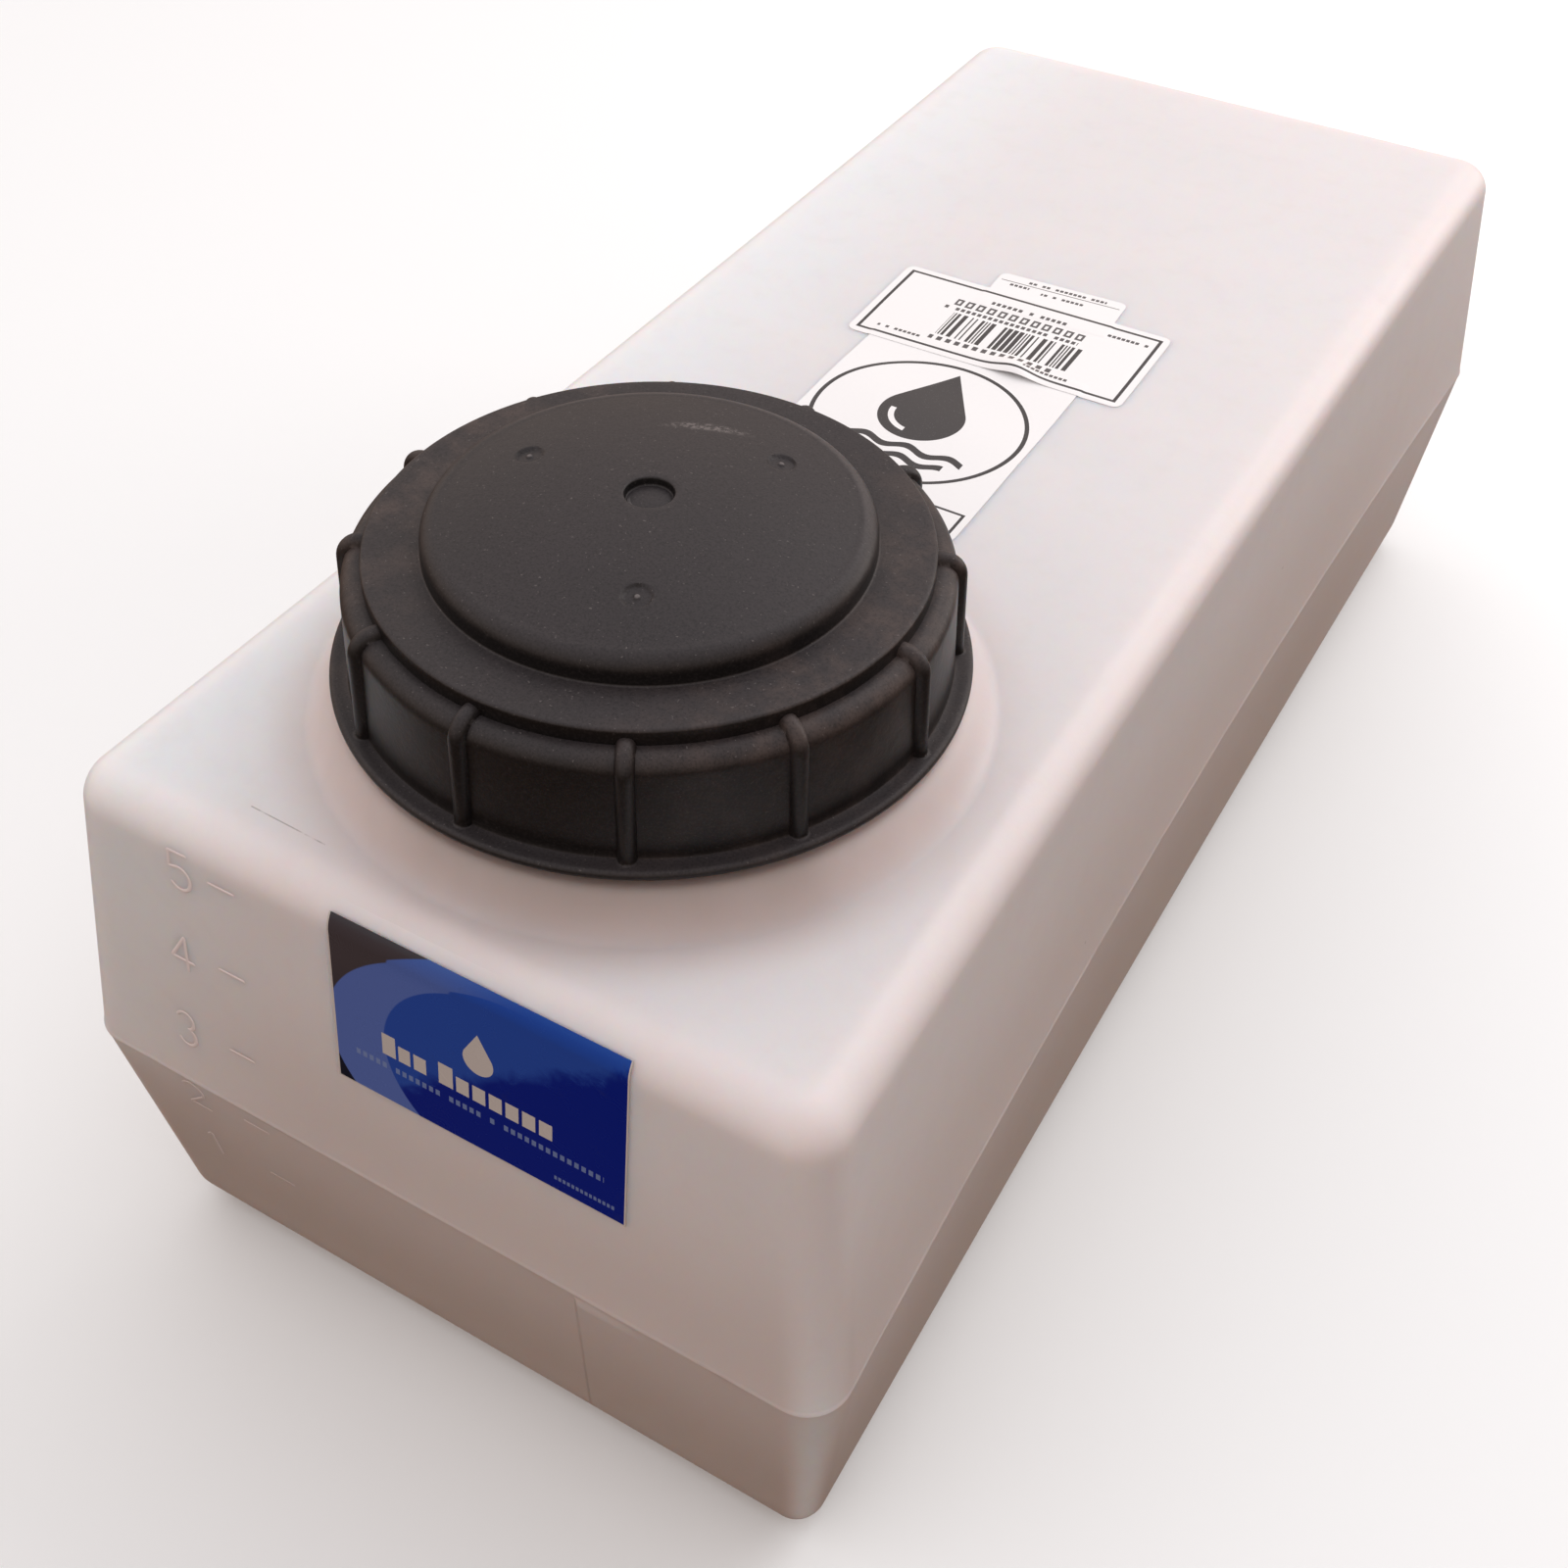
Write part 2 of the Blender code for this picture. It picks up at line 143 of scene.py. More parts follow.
# Stickers.
STICKER_THICKNESS = 0.00017
STICKER_LIFT = 0.00005
STICKER_CORNER = 0.003
STICKER_STEP_WIDTH = 0.0016
MARK_LABEL = {"size": (0.0774, 0.1015), "centre": (0.0014, -0.0182), "turn": 0.2}
INSPECTION_LABEL = {"size": (0.048, 0.025), "centre": (0.0082, 0.0775), "turn": 3.0}
BARCODE_LABEL = {"size": (0.1016, 0.0505), "centre": (0.0037, 0.0508), "turn": 0.9}
WRINKLE_PLACE = (0.0115, -0.0215)
WRINKLE_SIZE = (0.008, 0.0058)
WRINKLE_HEIGHT = 0.0022
FRONT_LABEL_LOW, FRONT_LABEL_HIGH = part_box("front_label")
FRONT_LABEL_WIDTH = FRONT_LABEL_HIGH.x - FRONT_LABEL_LOW.x
FRONT_LABEL_X = (FRONT_LABEL_HIGH.x + FRONT_LABEL_LOW.x) / 2
FRONT_LABEL_BOTTOM = LOWER_HEIGHT + 0.0372
FRONT_LABEL_WRAP = math.radians(36)

# Raised gallon marks on the front wall, one for each 30.3 mm of height.
GALLON_STEP = 0.0303
DIGIT_HEIGHT = 0.0125
DIGIT_WIDTH = 0.008
STROKE_WIDTH = 0.0011
STROKE_RISE = 0.00014
STROKE_BURIED = 0.0002
TICK_START = -0.065
TICK_LENGTH = 0.009

CORNER_STEPS = 12
END_STEPS = 96
SIDE_STEPS = 160


# ---- meshes


def smooth(value):
    """An S curve from 0 to 1."""
    value = np.clip(value, 0, 1)
    return value * value * (3 - 2 * value)


def add(name, data):
    """An object for the data, in the scene."""
    obj = bpy.data.objects.new(name, data)
    bpy.context.scene.collection.objects.link(obj)
    return obj


def surface(name, points, faces, material, sharp_angle=40):
    mesh = bpy.data.meshes.new(name)
    mesh.from_pydata(points, [], faces)
    mesh.materials.append(material)
    mesh.shade_smooth()
    mesh.set_sharp_from_angle(angle=math.radians(sharp_angle))
    return add(name, mesh)


def ring_faces(rows, width, first, closed=False):
    """Quads between rings of points that are numbered from first, and the last ring's numbers."""
    index = first + np.arange(rows * width).reshape(rows, width)
    if closed:
        index = np.concatenate((index, index[:1]))
    after = np.roll(index, -1, axis=1)
    quads = np.stack((index[:-1], after[:-1], after[1:], index[1:]), -1)
    return quads.reshape(-1, 4).tolist(), index, after


def ring_mesh(name, rings, start, end, material):
    """A closed surface: rings of points in order, closed by a point at each end."""
    rings = np.asarray(rings)
    rows, width = rings.shape[:2]
    points = np.concatenate(([start], rings.reshape(-1, 3), [end]))
    faces, index, after = ring_faces(rows, width, 1)
    last = len(points) - 1
    faces += [(0, b, a) for a, b in zip(index[0].tolist(), after[0].tolist())]
    faces += [(a, b, last) for a, b in zip(index[-1].tolist(), after[-1].tolist())]
    return surface(name, points.tolist(), faces, material)


def unit(angles):
    """Directions in a plane, one for each angle."""
    return np.stack((np.cos(angles), np.sin(angles)), 1)


def arc(radius, start, end, steps):
    """Offsets round an arc in a plane, with the angles in degrees."""
    return radius * unit(np.radians(np.linspace(start, end, steps + 1)))


def bend(across, up, *turn):
    """Points of an arc round the point (across, up)."""
    return [(across + x, up + y) for x, y in arc(*turn)]


# ---- tank


def wall_at(z):
    """Half width, half length, corner radius and side bow of the outside at a height."""
    if z >= LOWER_HEIGHT:
        rise = (z - LOWER_HEIGHT) / UPPER_HEIGHT
        inset = TOP_INSET * rise
        bow = SIDE_BOW + (TOP_BOW - SIDE_BOW) * rise**2
        return HALF_WIDTH - inset, HALF_LENGTH - inset, CORNER_RADIUS, bow
    drop = (LOWER_HEIGHT - z) / LOWER_HEIGHT
    width = HALF_WIDTH - BOTTOM_INSET_SIDE * drop
    length = HALF_LENGTH - BOTTOM_INSET_END * drop
    radius = CORNER_RADIUS + (BOTTOM_CORNER_RADIUS - CORNER_RADIUS) * drop
    return width, length, radius, SIDE_BOW * (1 - drop**2)


def outline(half_width, half_length, radius, bow):
    """A rounded rectangle whose long sides bow inwards, from its +X +Y corner round."""
    corners = []
    for quarter, (side, end) in enumerate(((1, 1), (-1, 1), (-1, -1), (1, -1))):
        centre = (side * (half_width - radius), end * (half_length - radius))
        start = 90 * quarter
        corners.append(np.add(centre, arc(radius, start, start + 90, CORNER_STEPS)))
    pieces = []
    for index, steps in enumerate((END_STEPS, SIDE_STEPS, END_STEPS, SIDE_STEPS)):
        t = np.linspace(0, 1, steps + 1)[1:-1, None]
        run = corners[index][-1] * (1 - t) + corners[(index + 1) % 4][0] * t
        if index % 2:
            run[:, 0] -= np.sign(run[:, 0]) * bow * (1 - (2 * t[:, 0] - 1) ** 2)
        pieces += [corners[index], run]
    return np.concatenate(pieces)


def level(z, inset=0.0, thickness=0.0):
    """One ring of the tank's outside or, with a thickness, of the hollow inside it."""
    half_width, half_length, radius, bow = wall_at(z)
    inset = inset + thickness
    radius = max(radius - max(inset, 0), LEAST_CORNER_RADIUS)
    flat = outline(half_width - inset, half_length - inset, radius, bow)
    height = thickness + z * (TOP - 2 * thickness) / TOP
    return np.column_stack((flat, np.full(len(flat), height)))


def top_height(x, y):
    """Height of the tank's top, which has set with very slight hollows in it."""
    ripple = np.sin(37 * x + 5 * np.sin(23 * y)) * np.sin(29 * y + 1.3)
    edge_x = 1 - smooth((np.abs(x) - 0.07) / 0.03)
    edge_y = 1 - smooth((np.abs(y) - 0.21) / 0.05)
    away = smooth((np.hypot(x, y - NECK_Y) - BOSS_FOOT_RADIUS) / 0.03)
    return TOP - TOP_DIP * (0.5 + 0.5 * ripple) * edge_x * edge_y * away


def thread_rise(angle, height, start, turns):
    """How full a helical ridge is, from 0 to 1, at an angle and a height on its wall."""
    whole = 2 * math.pi
    rise = np.zeros_like(angle)
    for turn in range(math.ceil(turns)):
        along = angle % whole + whole * turn
        middle = start + PITCH * along / whole
        flank = (THREAD_BASE / 2 - np.abs(height - middle)) / ((THREAD_BASE - THREAD_CREST) / 2)
        taper = np.minimum(along, turns * whole - along) / (whole / 8)
        rise = np.maximum(rise, smooth(flank) * np.clip(taper, 0, 1))
    return rise


def edge_levels(height, radius, start, end, steps, thickness=0.0):
    """Rings round the tank's upper or lower edge, whose arc has its middle at the height."""
    turn = arc(radius, start, end, steps)
    return [level(height + up, radius - out, thickness) for out, up in turn]


def tank_walls():
    """Rings of the outside, from the middle of the base up to the edge of the top."""
    rings = []
    foot = level(0, BOTTOM_EDGE_RADIUS)
    for share in (0.15, 0.35, 0.55, 0.75, 0.88, 0.95, 0.98, 1.0):
        ring = foot * share
        ring[:, 2] = BASE_RISE * (1 - smooth((share - 0.75) / 0.22))
        rings.append(ring)
    rings += edge_levels(BOTTOM_EDGE_RADIUS, BOTTOM_EDGE_RADIUS, -90, 0, 10)[1:]
    bead_low = LOWER_HEIGHT - BEAD_HALF_HEIGHT
    rings += [level(z) for z in np.linspace(BOTTOM_EDGE_RADIUS, bead_low, 17)[1:-1]]
    for side in np.linspace(-1, 1, 17):
        ring = level(LOWER_HEIGHT + side * BEAD_HALF_HEIGHT)
        out = BEAD_SEEN * (1 - smooth(abs(side) * 1.1 - 0.1))
        uneven = 0.85 + 0.15 * np.sin(90 * ring[:, 0] + 3 * np.sin(61 * ring[:, 1]))
        ring[:, :2] *= 1 + out * uneven[:, None] / np.array((HALF_WIDTH, HALF_LENGTH))
        rings.append(ring)
    bead_high = LOWER_HEIGHT + BEAD_HALF_HEIGHT
    rings += [level(z) for z in np.linspace(bead_high, TOP_EDGE_START, 17)[1:]]
    return rings + edge_levels(TOP_EDGE_START, TOP_EDGE_RADIUS, 0, 90, 14)[1:]


def neck_ring(directions, radius, height):
    """A ring round the neck's axis at a height above the top of the tank."""
    flat = directions * np.reshape(radius, (-1, 1)) + (0, NECK_Y)
    return np.column_stack((flat, np.full(len(flat), TOP + height)))


def boss_at(t):
    """Radius and height of the boss, from its foot at 0 to its top at 1."""
    radius = BOSS_FOOT_RADIUS + (BOSS_TOP_RADIUS - BOSS_FOOT_RADIUS) * t
    return radius, BOSS_HEIGHT * (1 - math.cos(math.pi * t)) / 2


def tank_top(edge, directions):
    """Rings across the top, up the boss and the threaded neck, and over its rim."""
    rings = []
    foot = neck_ring(directions, BOSS_FOOT_RADIUS, 0)
    for share in np.linspace(0, 1, 49)[1:]:
        ring = edge * (1 - share) + foot * share
        ring[:, 2] = top_height(ring[:, 0], ring[:, 1])
        rings.append(ring)
    section = [boss_at(t) for t in np.linspace(0, 1, 19)[1:]]
    fillet = (NECK_RADIUS + NECK_FOOT_FILLET, BOSS_HEIGHT + NECK_FOOT_FILLET)
    section.append(((fillet[0] + BOSS_TOP_RADIUS) / 2, BOSS_HEIGHT))
    section += bend(*fillet, NECK_FOOT_FILLET, 270, 180, 5)
    angles = np.arctan2(directions[:, 1], directions[:, 0])
    rim = NECK_HEIGHT - NECK_RIM_CHAMFER
    for height in np.linspace(fillet[1], rim, 60)[1:]:
        rise = thread_rise(angles, height, NECK_THREAD_START, NECK_THREAD_TURNS)
        section.append((NECK_RADIUS + (NECK_CREST_RADIUS - NECK_RADIUS) * rise, height))
    section += bend(NECK_RADIUS - NECK_RIM_CHAMFER, rim, NECK_RIM_CHAMFER, 0, 90, 3)[1:]
    section += bend(NECK_BORE_RADIUS + NECK_RIM_CHAMFER, rim, NECK_RIM_CHAMFER, 90, 180, 3)
    return rings + [neck_ring(directions, *point) for point in section]


def tank_inside(directions):
    """Rings down the bore, under the boss and the top, and down the walls to the floor."""
    low = BOSS_HEIGHT - WALL + NECK_FOOT_FILLET
    heights = np.linspace(NECK_HEIGHT - 2 * NECK_RIM_CHAMFER, low, 8)
    section = [(NECK_BORE_RADIUS, height) for height in heights]
    section += bend(NECK_BORE_RADIUS + NECK_FOOT_FILLET, low, NECK_FOOT_FILLET, 180, 270, 4)[1:]
    section += [np.subtract(boss_at(t), WALL) for t in np.linspace(1, 0, 9)]
    rings = [neck_ring(directions, *point) for point in section]
    edge = level(TOP, TOP_EDGE_RADIUS, WALL)
    for share in (0.2, 0.4, 0.6, 0.8):
        rings.append(rings[-1] * (1 - share) + edge * share)
    rings += edge_levels(TOP_EDGE_START, TOP_EDGE_RADIUS, 90, 0, 6, WALL)
    rings += [level(z, 0, WALL) for z in np.linspace(TOP_EDGE_START, BOTTOM_EDGE_RADIUS, 12)[1:-1]]
    rings += edge_levels(BOTTOM_EDGE_RADIUS, BOTTOM_EDGE_RADIUS, 0, -90, 6, WALL)
    floor = rings[-1]
    for share in (0.9, 0.7, 0.45, 0.2):
        ring = floor * share
        ring[:, 2] = floor[0, 2] + BASE_RISE * smooth((1 - share) / 0.4)
        rings.append(ring)
    return rings


def make_tank(material):
    """The rotomoulded body: one closed skin, outside and in, with its threaded neck."""
    rings = tank_walls()
    outward = rings[-1][:, :2] - (0, NECK_Y)
    directions = outward / np.linalg.norm(outward, axis=1)[:, None]
    rings += tank_top(rings[-1], directions)
    rings += tank_inside(directions)
    return ring_mesh("tank_body", rings, (0, 0, BASE_RISE), (0, 0, rings[-1][0, 2]), material)


# ---- gallon marks


def digit_strokes():
    """The strokes of each digit, as lines of points in a box one wide and one high."""

    def turn(centre_y, radius, start, end):
        return [(0.5 + 1.45 * x, centre_y + y) for x, y in arc(radius, start, end, 14)]

    return {
        5: [[(0.9, 1.0), (0.12, 1.0), (0.08, 0.56), *turn(0.31, 0.31, 118, -150)]],
        4: [[(0.66, 0.0), (0.66, 1.0), (0.0, 0.3), (1.0, 0.3)]],
        3: [turn(0.745, 0.255, 160, -80), turn(0.27, 0.27, 82, -160)],
        2: [[*turn(0.7, 0.3, 165, -35), (0.03, 0.0), (1.0, 0.0)]],
        1: [[(0.3, 0.82), (0.55, 1.0), (0.55, 0.0)]],
    }


def front_wall(x, z):
    """A point on the front wall and the wall's outward direction there."""
    slope = UPPER_SLOPE if z >= LOWER_HEIGHT else -LOWER_SLOPE
    outward = Vector((0, -math.cos(slope), math.sin(slope)))
    return Vector((x, -wall_at(z)[1], z)), outward


def resampled(line, spacing):
    """Evenly spaced points along a line of points."""
    line = np.asarray(line, float)
    lengths = np.linalg.norm(np.diff(line, axis=0), axis=1)
    travelled = np.concatenate(([0], np.cumsum(lengths)))
    count = max(6, round(travelled[-1] / spacing))
    places = np.linspace(0, travelled[-1], count + 1)
    return np.column_stack([np.interp(places, travelled, column) for column in line.T])


def stroke_parts(line, points, faces):
    """Adds one raised stroke with round ends, half sunk into the front wall."""
    sides = 10
    line = resampled(line, STROKE_WIDTH / 2)
    tangents = np.gradient(line, axis=0)
    first = len(points)
    for number, ((x, z), (along_x, along_z)) in enumerate(zip(line, tangents)):
        point, outward = front_wall(x, z)
        along = Vector((along_x, 0, along_z)).normalized()
        across = outward.cross(along).normalized()
        ends = min(number + 0.35, len(line) - 1 - number + 0.35)
        size = math.sqrt(1 - (1 - min(1, ends / 1.5)) ** 2)
        for sideways, out in arc(1, 0, 360, sides)[:-1]:
            reach = sideways * size * STROKE_WIDTH / 2
            depth = out * size * (STROKE_RISE if out > 0 else STROKE_BURIED)
            points.append(point + across * reach + outward * depth)
    quads, index, _ = ring_faces(len(line), sides, first)
    faces += quads
    faces += [index[0][::-1].tolist(), index[-1].tolist()]


def make_gallon_marks(material):
    """Raised digits and level marks, moulded into the front wall."""
    points = []
    faces = []
    lean = 0.0029
    for digit, strokes in digit_strokes().items():
        middle = LOWER_HEIGHT + 0.082 - GALLON_STEP * (5 - digit)
        left = -0.0789 - lean * (5 - digit)
        low = middle - DIGIT_HEIGHT / 2
        for stroke in strokes:
            line = [(left + x * DIGIT_WIDTH, low + y * DIGIT_HEIGHT) for x, y in stroke]
            stroke_parts(line, points, faces)
        tick_z = middle + 0.0012
        tick = [(TICK_START, tick_z), (TICK_START + TICK_LENGTH, tick_z)]
        stroke_parts(tick, points, faces)
    return surface("gallon_marks", points, faces, material, 60)


# ---- lid and gasket


def lid_angles():
    """Angles of the lid's columns, closer together across each rib."""
    reach = 1.2 * RIB_RADIUS / SKIRT_RADIUS
    across = reach * np.sin(np.radians(np.linspace(-90, 90, 19)))
    between = np.linspace(reach, RIB_PITCH - reach, 33)[1:-1]
    one = np.concatenate((across, between))
    return np.concatenate([one + RIB_PITCH * number for number in range(RIB_COUNT)])


def rib_height(angles, radius):
    """How far the nearest rib stands proud of the lid's side at each angle."""
    sideways = radius * ((angles + RIB_PITCH / 2) % RIB_PITCH - RIB_PITCH / 2)
    return np.sqrt(np.maximum(RIB_RADIUS**2 - sideways**2, 0))


def crown_height(radius):
    return CROWN_HEIGHT - CROWN_DROP * (radius / CROWN_RADIUS) ** 2


def gate_relief(angles, radius):
    """Shallow moulding gate dimples in the crown, each with a nub in its middle."""
    relief = np.zeros_like(angles)
    for degrees in GATE_ANGLES:
        beside = radius * unit(angles) - turned(GATE_PLACE, 0, degrees)
        away = np.linalg.norm(beside, axis=1)
        relief -= GATE_DEPTH * smooth((GATE_RADIUS - away) / 0.0007)
        relief += GATE_NUB_HEIGHT * smooth((GATE_NUB_RADIUS - away) / 0.0009)
    return relief


def lid_top_rows(angles):
    """(radius, height) rows from the middle of the lid out to the disc's edge."""
    rows = []
    floor = CROWN_HEIGHT - RECESS_DEPTH
    wall = RECESS_RADIUS - 0.0002
    for radius in np.linspace(0.1, 1, 9) * (wall - RECESS_FILLET):
        rows.append((radius, floor + RECESS_DOME * (1 - (radius / wall) ** 2)))
    rows += bend(wall - RECESS_FILLET, floor + RECESS_FILLET, RECESS_FILLET, 270, 360, 4)[1:]
    rim = RECESS_RADIUS + RECESS_FILLET
    rows += bend(rim, crown_height(rim) - RECESS_FILLET, RECESS_FILLET, 180, 90, 4)
    crown_end = CROWN_RADIUS - CROWN_EDGE_RADIUS
    reach = GATE_RADIUS + 0.0008
    gates_start, gates_end = GATE_PLACE - reach, GATE_PLACE + reach
    runs = ((rim, gates_start, 16), (gates_start, gates_end, 33), (gates_end, crown_end, 10))
    for start, end, steps in runs:
        for radius in np.linspace(start, end, steps)[1:]:
            rows.append((radius, crown_height(radius) + gate_relief(angles, radius)))
    middle = crown_height(crown_end) - CROWN_EDGE_RADIUS
    rows += bend(crown_end, middle, CROWN_EDGE_RADIUS, 90, 0, 12)[1:]
    foot = CROWN_RADIUS + CROWN_FOOT_FILLET
    rows += bend(foot, DISC_HEIGHT + CROWN_FOOT_FILLET, CROWN_FOOT_FILLET, 180, 270, 4)
    edge = DISC_RADIUS - DISC_EDGE_RADIUS
    rows += [(radius, DISC_HEIGHT) for radius in np.linspace(foot, edge, 9)[1:-1]]
    return rows + bend(edge, DISC_HEIGHT - DISC_EDGE_RADIUS, DISC_EDGE_RADIUS, 90, 0, 6)


def lid_side_rows(angles):
    """(radius, height) rows down the step, over the ribbed shoulder and skirt to the flange."""
    foot = SHOULDER_HEIGHT + rib_height(angles, DISC_RADIUS)
    start = DISC_HEIGHT - DISC_EDGE_RADIUS
    rows = [(DISC_RADIUS, start + (foot - start) * share) for share in (0.3, 0.6, 1.0)]
    inner = SKIRT_RADIUS - SHOULDER_RADIUS
    rows.append(((DISC_RADIUS + inner) / 2, SHOULDER_HEIGHT + rib_height(angles, inner)))
    skirt_top = SHOULDER_HEIGHT - SHOULDER_RADIUS
    for across, up in arc(1, 90, 0, 11):
        reach = SHOULDER_RADIUS + rib_height(angles, inner + SHOULDER_RADIUS * across)
        rows.append((inner + reach * across, skirt_top + reach * up))
    ends = ((SKIRT_RADIUS, skirt_top), (SKIRT_FOOT_RADIUS, FLANGE_TOP + 0.0006))
    for radius, height in np.linspace(*ends, 14)[1:]:
        rows.append((radius + rib_height(angles, radius), height))
    proud = SKIRT_FOOT_RADIUS + rib_height(angles, SKIRT_FOOT_RADIUS)
    rows.append((proud + 0.0002, FLANGE_TOP + 0.0002))
    half = (FLANGE_TOP - FLANGE_BOTTOM) / 2
    edge = FLANGE_RADIUS - half
    start = proud + 0.0005
    rows += [(start + (edge - start) * share, FLANGE_TOP) for share in (0.2, 0.6, 1.0)]
    return rows + bend(edge, FLANGE_BOTTOM + half, half, 90, -90, 12)[1:]


def lid_under_rows(angles):
    """(radius, height) rows of the underside, from the flange in to the middle."""
    wall = SKIRT_INNER_RADIUS
    rows = [(wall + out, FLANGE_BOTTOM) for out in (0.004, 0.0004)]
    for height in np.linspace(FLANGE_BOTTOM + 0.0004, SEAT_HEIGHT - 0.0002, 62):
        rise = thread_rise(angles, height, LID_THREAD_START, LID_THREAD_TURNS)
        rows.append((wall + (LID_CREST_RADIUS - wall) * rise, height))
    width = wall - SEAT_INNER_RADIUS
    rows += [(wall - width * share, SEAT_HEIGHT) for share in (0.03, 0.5, 1.0)]
    ceiling = DISC_HEIGHT - LID_WALL
    inner = CROWN_RADIUS - LID_WALL
    rows += [
        (SEAT_INNER_RADIUS, SEAT_HEIGHT + 0.0003),
        (SEAT_INNER_RADIUS, ceiling - 0.0003),
        (SEAT_INNER_RADIUS - 0.0003, ceiling),
        (inner + 0.0003, ceiling),
        (inner, ceiling + 0.0003),
    ]
    for radius in np.linspace(inner - LID_WALL, RECESS_RADIUS + 2 * LID_WALL, 12):
        rows.append((radius, crown_height(radius) - LID_WALL))
    floor = CROWN_HEIGHT - RECESS_DEPTH - LID_WALL
    return rows + [(RECESS_RADIUS, floor), (RECESS_RADIUS / 2, floor)]


def make_lid(material):
    """The screw lid: crown, stepped disc, ribbed skirt and flange, with its thread inside."""
    angles = lid_angles()
    directions = unit(angles + math.radians(LID_TURN))
    rows = lid_top_rows(angles) + lid_side_rows(angles) + lid_under_rows(angles)
    rings = [neck_ring(directions, *row) for row in reversed(rows)]
    under = (0, NECK_Y, rings[0][0, 2])
    middle = (0, NECK_Y, TOP + CROWN_HEIGHT - RECESS_DEPTH + RECESS_DOME)
    return ring_mesh("lid_body", rings, under, middle, material)


def make_gasket(material):
    """A flat rubber ring with rounded edges and two moulded sealing ridges on each face."""
    half = (GASKET_HIGH.z - GASKET_LOW.z) / 2
    middle = (GASKET_HIGH.z + GASKET_LOW.z) / 2 - TOP
    inner = 0.0672
    outer = GASKET_HIGH.x
    corner = 0.0005
    ridge = 0.00022
    upper = []
    for radius in np.linspace(outer - corner, inner + corner, 25)[1:-1]:
        wave = (radius - inner) / (outer - inner) * 3 * math.pi
        upper.append((radius, half - ridge * math.cos(wave) ** 2))
    rise = half - ridge - corner
    upper += bend(inner + corner, rise, corner, 90, 180, 4)
    upper += bend(inner + corner, -rise, corner, 180, 270, 4)
    section = upper + [(inner + outer - radius, -height) for radius, height in upper]
    count = 240
    directions = unit(np.linspace(0, 2 * math.pi, count, endpoint=False))
    rings = [neck_ring(directions, radius, middle + up) for radius, up in reversed(section)]
    faces, _, _ = ring_faces(len(rings), count, 0, closed=True)
    return surface("gasket_ring", np.concatenate(rings).tolist(), faces, material)


# ---- stickers


def sheet_mesh(name, upper, lower, flat, material):
    """A thin closed sheet from two grids of points, with its flat sizes as a UV map."""
    rows, columns = upper.shape[:2]
    size = rows * columns
    points = np.concatenate((upper.reshape(-1, 3), lower.reshape(-1, 3)))
    index = np.arange(size).reshape(rows, columns)
    quads = np.stack((index[:-1, :-1], index[1:, :-1], index[1:, 1:], index[:-1, 1:]), -1)
    faces = quads.reshape(-1, 4).tolist()
    faces += (quads.reshape(-1, 4)[:, ::-1] + size).tolist()
    rim = np.concatenate((index[:, 0], index[-1, 1:], index[-2::-1, -1], index[0, -2:0:-1]))
    for a, b in zip(rim.tolist(), np.roll(rim, -1).tolist()):
        faces.append((b, a, a + size, b + size))
    sheet = surface(name, points.tolist(), faces, material, 50)
    mesh = sheet.data
    layer = mesh.uv_layers.new(name="flat")
    corners = np.empty(len(mesh.loops), np.int32)
    mesh.loops.foreach_get("vertex_index", corners)
    layer.data.foreach_set("uv", flat.reshape(-1, 2)[corners % size].ravel())
    return sheet


def sticker_grid(size, steps, corner):
    """Flat grid of a sticker with rounded corners, finer towards its edges."""
    half_x, half_y = size[0] / 2, size[1] / 2
    across = np.sin(np.radians(np.linspace(-90, 90, steps[0])))
    x = half_x * (0.35 * across + 0.65 * np.linspace(-1, 1, steps[0]))
    cut = np.maximum(np.abs(x) - (half_x - corner), 0)
    reach = half_y - corner + np.sqrt(np.maximum(corner**2 - cut**2, 0))
    y = np.outer(reach, np.linspace(-1, 1, steps[1]))
    return np.stack(np.broadcast_arrays(x[:, None], y), -1)


def turned(x, y, degrees):
    """The point (x, y) turned about the origin."""
    along = math.cos(math.radians(degrees))
    across = math.sin(math.radians(degrees))
    return x * along - y * across, x * across + y * along


def covered(x, y, label):
    """1 over another sticker, falling softly to 0 just outside its edge."""
    u, v = turned(x - label["centre"][0], y - label["centre"][1], -label["turn"])
    beyond_u = np.maximum(np.abs(u) - label["size"][0] / 2, 0)
    beyond_v = np.maximum(np.abs(v) - label["size"][1] / 2, 0)
    return 1 - smooth(np.hypot(beyond_u, beyond_v) / STICKER_STEP_WIDTH)


def make_top_sticker(name, label, material, under=(), wrinkle=0.0):
    """A sticker on the tank's top that drapes over any sticker under it."""
    flat = sticker_grid(label["size"], (151, 121), STICKER_CORNER)
    x, y = turned(flat[..., 0], flat[..., 1], label["turn"])
    x = x + label["centre"][0]
    y = y + label["centre"][1]
    lift = np.full(x.shape, STICKER_LIFT)
    for other in under:
        lift += (STICKER_THICKNESS + STICKER_LIFT) * covered(x, y, other)
    along, across = np.moveaxis(flat - WRINKLE_PLACE, -1, 0)
    across = (across + 0.25 * along) / WRINKLE_SIZE[1]
    lift += wrinkle * np.exp(-((along / WRINKLE_SIZE[0]) ** 2) - across**2)
    height = top_height(x, y) + lift
    upper = np.stack((x, y, height + STICKER_THICKNESS), -1)
    lower = np.stack((x, y, height), -1)
    return sheet_mesh(name, upper, lower, flat, material)


